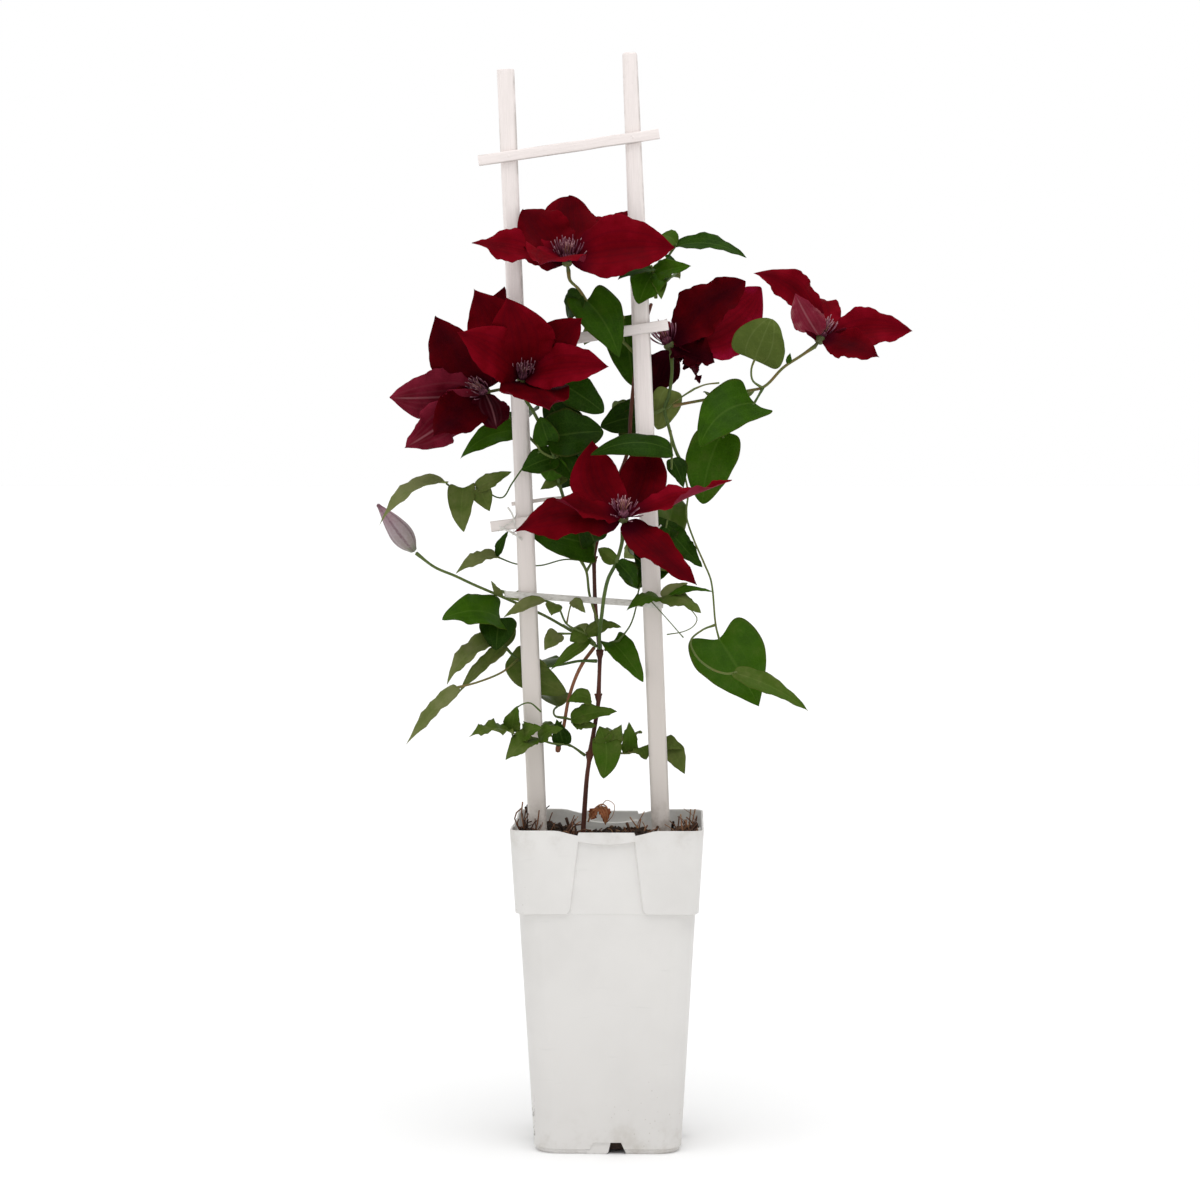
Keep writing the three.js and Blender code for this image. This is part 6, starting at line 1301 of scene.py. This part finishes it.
def pot_shell():
    """The pot as one closed wall: over the underside, up the outside, round the rim and down the inside."""
    outside = [0, 0.5, 1.2, 2.2, 2.9, 3.2, 3.6, 4.2, *np.linspace(8, 160, 24), 162.5, 163.6]
    collar = [163.9, 164.15, 164.6, 165.2, 166, 167, 168.2, *np.linspace(171, 204, 12), 207, 210, 212, 213.3,
              213.62, 213.8, 214.1, 214.6, 216, 217.6, 218.8, 219.6, 220.3]
    inside = [219.8, 218.5, 216, 214, 213.5, 211, 207, *np.linspace(203, 168, 10), 165.5, 164.6, 163,
              150, 110, 60, 20, 6]
    rounding = POT.wall / 2
    under, floor = wall_rings([0], 0), wall_rings([POT.floor], POT.wall)
    rows = [under * (share, share, 1) for share in (0.25, 0.55, 0.8, 0.95)]
    rows.append(wall_rings(outside + collar, 0))
    for angle in np.linspace(0, np.pi, 9):
        rows.append(wall_rings([POT.height - rounding + rounding * math.sin(angle)],
                               rounding - rounding * math.cos(angle)))
    rows.append(wall_rings(inside, POT.wall))
    rows += [floor * (share, share, 1) for share in (1.0, 0.9, 0.6, 0.25)]
    return np.concatenate(rows)


def cut(piece, tool_rings):
    """Cuts closed bodies out of a piece with a Boolean modifier, and applies it."""
    pile = Pile()
    for rings in tool_rings:
        pile.add(rings)
    tool = new_object("cutting_tool", pile.mesh("cutting_tool"))
    modifier = piece.modifiers.new("notches", "BOOLEAN")
    modifier.operation, modifier.object, modifier.solver = "DIFFERENCE", tool, "EXACT"
    bpy.context.view_layer.update()
    shape = bpy.data.meshes.new_from_object(piece.evaluated_get(bpy.context.evaluated_depsgraph_get()))
    piece.modifiers.clear()
    piece.data = shape
    bpy.data.objects.remove(tool)


def turned(points, quarter):
    """Points turned about the pot's axis by quarters of a turn."""
    c, s = round(math.cos(quarter * math.pi / 2)), round(math.sin(quarter * math.pi / 2))
    return points @ np.array([[c, s, 0], [-s, c, 0], [0, 0, 1]], float)


def notch_rings(quarter, near=70):
    """The drainage notch in a side's foot: a box that narrows upwards and reaches in under the floor."""
    low, high, top = NOTCH.bottom_half, NOTCH.top_half, NOTCH.height
    outline = [(-low, -1), (low, -1), (low, 0), (high, top), (-high, top), (-low, 0)]
    rings = [[(x, -y, z) for x, z in outline] for y in (near, NOTCH.inner)]
    return turned(np.array(rings, float)[:, ::-1], quarter)


def web_rings(quarter):
    """The plate set back in the notch, over its left part, with a rounded lower corner."""
    low, high, top = NOTCH.bottom_half, NOTCH.top_half, NOTCH.height + 1
    turn, back = np.linspace(0, np.pi / 2, 6), 50.4 - NOTCH.web_back
    corner = [(1.2 - 2.6 * (1 - math.sin(a)), 0.2 + 2.6 * (1 - math.cos(a))) for a in turn]
    outline = [(-low - 1, 0.2), *corner, (2.6, top), (-high - 1.5, top)]
    rings = [[(x, -y, z) for x, z in outline] for y in (back - 1.4, back)]
    return turned(np.array(rings, float), quarter)


def make_pot(materials):
    """The pot: its wall, the notches cut in its foot, and the plate set back in each."""
    pile = Pile()
    pile.add(pot_shell())
    piece = put("square_pot", pile, materials, ["pot"])
    cut(piece, [notch_rings(quarter) for quarter in range(4)])
    webs = Pile()
    for quarter in range(4):
        webs.add(web_rings(quarter))
    web = put("foot_webs", webs, materials, crease=30)
    piece.data.set_sharp_from_angle(angle=math.radians(32))
    return piece, web


def soil_height(x, y, waves):
    """The soil's top at x, y: its level, two sines, the mounds and the random waves."""
    height = SOIL_LEVEL + 1.6 * np.sin(x / 7 + 1) * np.cos(y / 9) + 1.1 * np.sin(x / 4.3 - y / 5.1)
    for mx, my, rise, radius in SOIL_MOUNDS:
        height = height + rise * np.exp(-((x - mx) ** 2 + (y - my) ** 2) / radius**2)
    for kx, ky, size, phase in waves:
        height = height + size * np.sin(kx * x + ky * y + phase)
    return height


def crumb_body():
    """A small twelve-cornered ball and its twenty triangles, the shape that crumbs are knocked out of."""
    g = (1 + math.sqrt(5)) / 2
    corners = np.array([(-1, g, 0), (1, g, 0), (-1, -g, 0), (1, -g, 0), (0, -1, g), (0, 1, g), (0, -1, -g),
                        (0, 1, -g), (g, 0, -1), (g, 0, 1), (-g, 0, -1), (-g, 0, 1)]) / math.hypot(1, g)
    triangles = np.array([(0, 11, 5), (0, 5, 1), (0, 1, 7), (0, 7, 10), (0, 10, 11), (1, 5, 9), (5, 11, 4),
                          (11, 10, 2), (10, 7, 6), (7, 1, 8), (3, 9, 4), (3, 4, 2), (3, 2, 6), (3, 6, 8),
                          (3, 8, 9), (4, 9, 5), (2, 4, 11), (6, 2, 10), (8, 6, 7), (9, 8, 1)])
    return corners, triangles


def make_soil(materials, crumbs, fibres, seed):
    """The soil: a rough bed inside the pot, strewn with crumbs, sticks, straws and root ends."""
    rng = np.random.default_rng(seed)
    waves = [(rng.normal(0, k), rng.normal(0, k), 0.9 / (1 + 3 * k), rng.uniform(0, 6.3))
             for k in np.repeat((0.3, 0.6, 1.1), 10)]
    pile = Pile()
    inset = POT.wall + 0.4
    wall = wall_rings([POT.floor + 0.4, 40, 90, 140, 162, 166, 190, 200], inset)
    edge = wall_rings([202], inset)
    top = []
    for share in np.linspace(1, 0.03, 72):
        ring = edge * (share, share, 1)
        ring[..., 2] = soil_height(ring[..., 0], ring[..., 1], waves)
        top.append(ring)
    pile.add(np.concatenate([wall[:1] * (0.5, 0.5, 1), wall, *top]), shape=(0, 0, 0.3))
    corners, triangles = crumb_body()
    x, y = rng.uniform(-60, 60, (2, crumbs))
    size = rng.gamma(2.2, 0.45, crumbs).clip(0.4, 3.2)
    squash = rng.uniform(0.55, 1.3, (crumbs, 1, 3))
    knocked = corners * (1 + rng.uniform(-0.28, 0.28, (crumbs, 12, 1)))
    turns = unit(rng.normal(size=(crumbs, 4)))
    lumps = rotate(knocked * squash * size[:, None, None], turns)
    centre = np.stack([x, y, soil_height(x, y, waves) + 0.2 * size], -1)
    zeros = np.zeros(crumbs)
    shape = np.stack([zeros, zeros, rng.uniform(0, 1, crumbs)], -1)
    pile.add_copies(lumps + centre[:, None], triangles, shape)
    for foot, head, radius in STRAWS:
        bent = [foot, (vec(foot) + head) / 2 + rng.normal(0, 1.2, 3), head]
        stalk(pile, bent, radius, rng.uniform(0.1, 0.5), 1, sides=7, step=3)
    for tx, ty, number, lean, tall in TUFTS:
        for _ in range(number):
            foot = np.array([tx, ty, 0]) + rng.normal(0, 4.5, 3)
            foot[:2] = foot[:2].clip(-59, 59)
            foot[2] = soil_height(foot[0], foot[1], waves) - 1.5
            aside = rng.normal(0, 0.7, 2) * lean
            head = foot + (*aside, abs(rng.normal(0.6, 0.35)) * tall)
            head[:2] = head[:2].clip(-60.5, 60.5)
            bent = [foot, (foot + head) / 2 + rng.normal(0, 1.8, 3), head]
            stalk(pile, bent, rng.uniform(0.16, 0.42), rng.uniform(0.2, 1), 1, sides=5, step=4)
    for _ in range(fibres):
        at = np.array([*rng.uniform(-58, 58, 2), 0])
        aim = unit(np.array([*rng.normal(size=2), 0.1])) * rng.uniform(5, 15)
        points = np.array([at - aim, at + rng.normal(0, 1, 3), at + aim])
        points[:, :2] = points[:, :2].clip(-60, 60)
        points[:, 2] = soil_height(points[:, 0], points[:, 1], waves) + rng.uniform(0.6, 2.2, 3)
        stalk(pile, points, rng.uniform(0.15, 0.4), rng.uniform(0.2, 1), 1, sides=5, step=4)
    return put("soil_bed", pile, materials, ["soil"])


def rotate(points, quaternions):
    """Each row's points turned by its unit quaternion w, x, y, z: p + 2w(r x p) + 2r x (r x p)."""
    w, r = quaternions[:, None, :1], quaternions[:, None, 1:]
    first = np.cross(np.broadcast_to(r, points.shape), points)
    return points + 2 * w * first + 2 * np.cross(np.broadcast_to(r, points.shape), first)


def rounded_section(half_x, half_y, radius, arc=6):
    """A rectangle with rounded corners, counter-clockwise, as two rows of coordinates."""
    turn = np.linspace(0, np.pi / 2, arc)
    x, y = [], []
    for quarter in range(4):
        c = math.cos((quarter + 0.5) * math.pi / 2) > 0
        s = math.sin((quarter + 0.5) * math.pi / 2) > 0
        x.append((half_x - radius) * (1 if c else -1) + radius * np.cos(turn + quarter * np.pi / 2))
        y.append((half_y - radius) * (1 if s else -1) + radius * np.sin(turn + quarter * np.pi / 2))
    return np.concatenate(x), np.concatenate(y)


def add_slat(pile, start, end, y, section, rng, wobble, head=None, widths=(1, 1)):
    """Adds a slat from start to end in the x-z plane: a rectangle carried along it, given by its width, its
    depth and its corners' radius, whose width and place sway a little. A head, flat from 0 to 1, rounds the
    end: at t from 0 to 1 the width is 1 - 0.97 t^4 of the full one, drop (1 - t)^2 below the end."""
    half_x, half_y, radius = section[0] / 2, section[1] / 2, section[2]
    start, end = np.array([start[0], y, start[1]], float), np.array([end[0], y, end[1]], float)
    length = np.linalg.norm(end - start)
    along = (end - start) / length
    across = unit(np.cross((0.0, 1.0, 0.0), along))
    back = np.cross(along, across)
    at = np.linspace(0, length, max(12, int(length / 6)))
    shrink = np.ones_like(at)
    if head is not None:
        t = np.linspace(0, 1, 9)
        drop = 0.8 * half_x * (1 - head)
        below = np.linspace(0, length - drop - 4, int(length / 6))
        at = np.concatenate([below, length - drop * (1 - t) ** 2])
        shrink = np.concatenate([np.ones(len(below)), 1 - t**4 * 0.97])
    else:
        at = np.concatenate([[0, 0.25], at[1:-1], [length - 0.25, length]])
        shrink = np.concatenate([[0.9, 1], np.ones(len(at) - 4), [1, 0.9]])
    share = at / length
    width = shrink * np.interp(share, np.linspace(0, 1, len(widths)), widths)
    width = width * (1 + sway(share, rng, 0.012, 9))
    sx, sy = rounded_section(half_x, half_y, radius)
    middle = start + at[:, None] * along + (sway(share, rng, wobble, 4))[:, None] * across
    depth = np.sqrt(shrink)[:, None] * sy * (1 + sway(share, rng, 0.015, 7))[:, None]
    rings = middle[:, None] + (width[:, None] * sx)[..., None] * across + depth[..., None] * back
    pile.add(rings, marks(rings, sx, at, 1), marks(rings, sx / half_x, share, rng.uniform()))


def make_trellis(materials, seed):
    """The trellis: two uprights, three sloping rungs pinned to their front and the thin strip behind."""
    rng = np.random.default_rng(seed)
    for name, slat in UPRIGHTS.items():
        pile = Pile()
        section = UPRIGHT.width, UPRIGHT.depth, UPRIGHT.round
        ends = slat["foot"], slat["head"]
        add_slat(pile, *ends, UPRIGHT.y, section, rng, 0.35, slat["flat"], slat["widths"])
        put(f"upright_{name}", pile, materials, [f"trellis_upright_{name}"])
    slope = math.radians(RUNG.tilt)
    front = UPRIGHT.y - UPRIGHT.depth / 2 - GAP - RUNG.depth / 2
    for name, (middle, length) in RUNGS.items():
        pile = Pile()
        reach = np.array([math.cos(slope), math.sin(slope)]) * length / 2
        section = RUNG.height, RUNG.depth, RUNG.round
        add_slat(pile, middle - reach, middle + reach, front, section, rng, 0.25)
        for upright in UPRIGHTS.values():
            pin = crossing(middle, slope, upright)
            face = front - RUNG.depth / 2
            lump(pile, (pin[0], face, pin[1]), (0, -1, 0), (0.35, 0.8), 0.9, sides=12, rows=6)
        put(f"rung_{name}", pile, materials, [f"trellis_rung_{name}"], crease=50)
    pile = Pile()
    rise = (BRACE.right - BRACE.left) / 2 * math.tan(math.radians(BRACE.rise))
    left, right = (BRACE.left, BRACE.z - rise), (BRACE.right, BRACE.z + rise)
    behind = UPRIGHT.y + UPRIGHT.depth / 2 + GAP + BRACE.thickness / 2
    add_slat(pile, left, right, behind, (BRACE.height, BRACE.thickness, 0.5), rng, 0.4)
    put("brace_back", pile, materials, ["trellis_brace_back"], crease=50)


def crossing(middle, slope, upright):
    """Where a rung crosses an upright, in x and z."""
    (fx, fz), (hx, hz) = upright["foot"], upright["head"]
    rung = np.array([math.cos(slope), math.sin(slope)])
    slat = unit(vec([hx - fx, hz - fz]))
    share = np.linalg.solve(np.stack([rung, -slat], 1), np.array([fx, fz]) - middle)[0]
    return np.array(middle) + share * rung


def ribbon(pile, points, width, thickness, tone, rng, upright=(0, 0, 1), twist=0.0):
    """A flat strip on a smooth path: a thin rounded rectangle that stands along upright and may twist."""
    path = smooth_path(points, 1.2)
    along = unit(np.gradient(path, axis=0))
    share = np.linspace(0, 1, len(path))
    face = unit(np.cross(along, upright))
    high = np.cross(face, along)
    angle = (twist * share + sway(share, rng, 0.12, 3))[:, None]
    high, face = high * np.cos(angle) + face * np.sin(angle), face * np.cos(angle) - high * np.sin(angle)
    sx, sy = rounded_section(width / 2, thickness / 2, thickness * 0.4, 4)
    rings = path[:, None] + sx[:, None] * high[:, None] + sy[:, None] * face[:, None]
    pile.add(rings[:, ::-1], shape=marks(rings, sx / width, share, tone)[:, ::-1])


def make_ties(materials, seed):
    """The tie strip across both uprights, and the torn ends of older ties round them."""
    rng, pile = np.random.default_rng(seed), Pile()
    front = UPRIGHT.y - UPRIGHT.depth / 2 - GAP - TIE.thickness / 2
    slope = math.tan(math.radians(TIE.drop))
    middle = (TIE.left + TIE.right) / 2
    left, right = TIE.left + TIE.thickness / 2, TIE.right - TIE.thickness / 2
    plan = [(left, front + TIE.fold), (left, front + 3), (left + 0.3, front + 1), (left + 2.5, front),
            (left + 20, front), (middle - 15, front - 0.2), (middle + 15, front - 0.3), (right - 20, front),
            (right - 2.5, front), (right - 0.3, front + 1), (right, front + 3), (right, front + TIE.fold)]
    ribbon(pile, [(x, y, TIE.z + slope * (x - middle)) for x, y in plan], TIE.height, 0.8, 0.5, rng)
    put("tie_strip_fine", pile, materials, ["tie_strip"], crease=50)
    pile = Pile()
    for points, width, twist in TIE_ENDS:
        ribbon(pile, points, width, 0.35, rng.uniform(0.5, 1), rng, twist=twist)
    put("torn_ties", pile, materials, crease=50)


# -------- what a user can change


COLOUR = {"subtype": "COLOR", "size": 3, "min": 0}
TINT = {**COLOUR, "max": 2, "soft_max": 1, "default": (1, 1, 1)}
THICKNESS = {"unit": "LENGTH", "precision": 4, "min": 0.0002, "max": 0.0015}


class ClematisColours(bpy.types.PropertyGroup):
    """Colours of the main finishes."""

    leaf: FloatVectorProperty(
        name="Leaf tint", description="Tint that the leaves' greens are multiplied by", **TINT)
    petal: FloatVectorProperty(
        name="Petal tint", description="Tint that the petals' reds are multiplied by", **TINT)
    pot: FloatVectorProperty(
        name="Pot", description="Colour of the pot's plastic", default=paint("#dddbd8")[:3], max=1, **COLOUR)
    trellis: FloatVectorProperty(
        name="Trellis", description="Colour of the slats' paint", default=paint("#f0e7e4")[:3], max=1,
        **COLOUR)


class ClematisSizes(bpy.types.PropertyGroup):
    """Sizes and counts of the plant's fine parts."""

    leaf_thickness: FloatProperty(
        name="Leaf thickness", description="How thick the leaves are", default=LEAF_THICKNESS * MM,
        **THICKNESS)
    petal_thickness: FloatProperty(
        name="Petal thickness", description="How thick the petals are", default=0.00045, **THICKNESS)
    stamens: IntProperty(
        name="Stamens", description="How many stamens ring each flower's boss", default=BOSS.stamens,
        min=6, max=90)
    styles: IntProperty(
        name="Styles", description="How many styles stand in the middle of each boss", default=BOSS.styles,
        min=3, max=60)
    crumbs: IntProperty(
        name="Soil crumbs", description="How many loose crumbs lie on the soil", default=SOIL.crumbs,
        min=0, max=4000)
    fibres: IntProperty(
        name="Soil fibres", description="How many loose fibres lie on the soil", default=SOIL.fibres,
        min=0, max=400)


def tint(values):
    """A colour setting as a shader colour."""
    return (*values, 1.0)


# -------- operators


class PotOperator(bpy.types.Operator):
    """Add the square pot with its recessed sides, lips and foot notches"""

    bl_idname = "clematis.pot"
    bl_label = "Pot"

    def execute(self, context):
        make_pot([pot_look(tint(context.scene.clematis_colours.pot))])
        return {"FINISHED"}


class SoilOperator(bpy.types.Operator):
    """Add the soil with its crumbs, sticks and straws"""

    bl_idname = "clematis.soil"
    bl_label = "Soil"

    def execute(self, context):
        sizes = context.scene.clematis_sizes
        make_soil([soil_look(), straw_look()], sizes.crumbs, sizes.fibres, SEED)
        return {"FINISHED"}


class TrellisOperator(bpy.types.Operator):
    """Add the two uprights, the three rungs and the strip behind"""

    bl_idname = "clematis.trellis"
    bl_label = "Trellis"

    def execute(self, context):
        make_trellis([painted_wood_look(tint(context.scene.clematis_colours.trellis))], SEED + 1)
        return {"FINISHED"}


class TiesOperator(bpy.types.Operator):
    """Add the tie strip and the torn ends of older ties"""

    bl_idname = "clematis.ties"
    bl_label = "Ties"

    def execute(self, context):
        make_ties([tie_look()], SEED + 2)
        return {"FINISHED"}


class StemsOperator(bpy.types.Operator):
    """Add the old woody stem, the younger shoot and the withered leaf at their foot"""

    bl_idname = "clematis.stems"
    bl_label = "Stems"

    def execute(self, context):
        old = bark_look("old_bark", (0.2, "#2b1611"), (0.42, "#552e23"), (0.62, "#734231"), (0.85, "#987058"))
        young = bark_look(
            "young_bark", (0.2, "#5b3222"), (0.45, "#8a5a40"), (0.7, "#ab7c5e"), (0.9, "#c9a488"))
        woody_stem("old_stem", MAIN_STEM, 16, [old], "stem_main", SEED + 3, STEM_KNOTS)
        woody_stem("young_shoot", SIDE_SHOOT, 14, [young], "stem_side_shoot", SEED + 4)
        withered_leaf([dry_look()], SEED + 5)
        return {"FINISHED"}


class LeavesOperator(bpy.types.Operator):
    """Add the leafy sprays"""

    bl_idname = "clematis.leaves"
    bl_label = "Leaves"

    def execute(self, context):
        materials = [leaf_look(tint(context.scene.clematis_colours.leaf)), stalk_look()]
        thickness = context.scene.clematis_sizes.leaf_thickness / MM
        for number, (name, spray) in enumerate(SPRAYS.items()):
            leafy_spray(name, spray, materials, thickness, SEED + 10 + number)
        return {"FINISHED"}


class FlowersOperator(bpy.types.Operator):
    """Add the six flowers' petals and their bosses of stamens"""

    bl_idname = "clematis.flowers"
    bl_label = "Flowers"

    def execute(self, context):
        sizes = context.scene.clematis_sizes
        petals = [petal_look(tint(context.scene.clematis_colours.petal)), receptacle_look()]
        boss = [boss_look()]
        for number, (name, flower) in enumerate(BLOOMS.items()):
            bloom(name, flower, petals, sizes.petal_thickness / MM, SEED + 40 + number)
            stamens(name, flower, boss, sizes.stamens, sizes.styles, SEED + 60 + number)
        return {"FINISHED"}


class BudOperator(bpy.types.Operator):
    """Add the closed flower bud"""

    bl_idname = "clematis.bud"
    bl_label = "Bud"

    def execute(self, context):
        flower_bud([bud_look()])
        return {"FINISHED"}


class StageOperator(bpy.types.Operator):
    """Add the pale floor, the studio light and the camera"""

    bl_idname = "clematis.stage"
    bl_label = "Stage"

    def execute(self, context):
        make_stage(context.scene)
        return {"FINISHED"}


class ClematisPanel(bpy.types.Panel):
    """The clematis's settings and its pieces"""

    bl_idname = "VIEW3D_PT_clematis"
    bl_label = "Clematis on a Trellis"
    bl_space_type = "VIEW_3D"
    bl_region_type = "UI"
    bl_category = "Clematis"

    def draw(self, context):
        for settings in (context.scene.clematis_colours, context.scene.clematis_sizes):
            column = self.layout.column()
            for setting in settings.bl_rna.properties:
                if not setting.is_readonly and setting.identifier != "name":
                    column.prop(settings, setting.identifier)
        for operator in OPERATORS:
            self.layout.operator(operator.bl_idname)


OPERATORS = (
    PotOperator, SoilOperator, TrellisOperator, TiesOperator, StemsOperator, LeavesOperator, FlowersOperator,
    BudOperator, StageOperator,
)
CLASSES = (ClematisColours, ClematisSizes, *OPERATORS, ClematisPanel)


# -------- the stage

CAMERA = Named(at=(0.0549, -2.058, 0.465), aim=(-0.0062, 0.0, 0.3721), lens=90.18, sensor=36)
SUN = Named(direction=(-0.02, 0.24, -1.0), strength=2.0, softness=64)  # irradiance, width in degrees
SURROUND = {"low": 0.2, "high": 0.6, "side": 1.0, "top": 0.5}  # where it dims, its strength below and above


def look_at(thing, place, aim):
    """Puts a light or the camera at a place and turns it to look at another."""
    thing.location = place
    thing.rotation_euler = (Vector(aim) - Vector(place)).to_track_quat("-Z", "Y").to_euler()


def disc(radius, rings, sides):
    """A round flat floor: rings at radius (k / rings)^2 about its middle."""
    reach = radius * (np.arange(1, rings + 1) / rings) ** 2
    angle = np.linspace(0, 2 * np.pi, sides, endpoint=False)
    x, y = np.outer(reach, np.cos(angle)), np.outer(reach, np.sin(angle))
    points = np.concatenate([[(0, 0, 0)], np.stack([x, y, 0 * x], -1).reshape(-1, 3)])
    here, after = np.arange(sides), (np.arange(sides) + 1) % sides
    row = 1 + (np.arange(rings - 1) * sides)[:, None]
    quads = np.stack([row + here, row + here + sides, row + after + sides, row + after], -1).reshape(-1, 4)
    middle = np.stack([0 * here, 1 + here, 1 + after], -1)
    mesh = bpy.data.meshes.new("studio_floor")
    mesh.from_pydata(points.tolist(), [], middle.tolist() + quads.tolist())
    return mesh


def make_stage(scene):
    """A pale floor, a white surround that is dimmer overhead, a broad soft light from above, the camera."""
    floor = new_object("studio_floor", disc(60, 24, 64))
    floor.data.materials.append(floor_look())
    world = bpy.data.worlds.new("studio_white")
    world.use_nodes = True
    nodes, links = world.node_tree.nodes, world.node_tree.links
    height = nodes.new("ShaderNodeSeparateXYZ")
    links.new(nodes.new("ShaderNodeTexCoord").outputs["Generated"], height.inputs[0])
    ease = nodes.new("ShaderNodeMapRange")
    ease.interpolation_type = "SMOOTHSTEP"
    for socket, value in zip(("From Min", "From Max", "To Min", "To Max"), SURROUND.values()):
        ease.inputs[socket].default_value = value
    links.new(height.outputs["Z"], ease.inputs["Value"])
    links.new(ease.outputs["Result"], nodes["Background"].inputs["Strength"])
    nodes["Background"].inputs["Color"].default_value = (1.0, 1.0, 1.0, 1.0)
    scene.world = world
    sky = bpy.data.lights.new("ceiling_light", "SUN")
    sky.energy, sky.angle = SUN.strength, math.radians(SUN.softness)
    look_at(new_object("ceiling_light", sky), (0, 0, 0), SUN.direction)
    lens = bpy.data.cameras.new("studio_camera")
    lens.lens, lens.sensor_width, lens.sensor_fit = CAMERA.lens, CAMERA.sensor, "HORIZONTAL"
    lens.clip_start, lens.clip_end = 0.05, 100
    scene.camera = new_object("studio_camera", lens)
    look_at(scene.camera, CAMERA.at, CAMERA.aim)
    scene.view_settings.view_transform = "Standard"


# -------- start


def register():
    for kind in CLASSES:
        bpy.utils.register_class(kind)
    bpy.types.Scene.clematis_colours = PointerProperty(type=ClematisColours)
    bpy.types.Scene.clematis_sizes = PointerProperty(type=ClematisSizes)


def unregister():
    del bpy.types.Scene.clematis_sizes
    del bpy.types.Scene.clematis_colours
    for kind in reversed(CLASSES):
        bpy.utils.unregister_class(kind)


def main():
    """Builds everything in order."""
    register()
    bpy.ops.clematis.pot()
    bpy.ops.clematis.soil()
    bpy.ops.clematis.trellis()
    bpy.ops.clematis.ties()
    bpy.ops.clematis.stems()
    bpy.ops.clematis.leaves()
    bpy.ops.clematis.flowers()
    bpy.ops.clematis.bud()
    bpy.ops.clematis.stage()


if __name__ == "__main__":
    main()
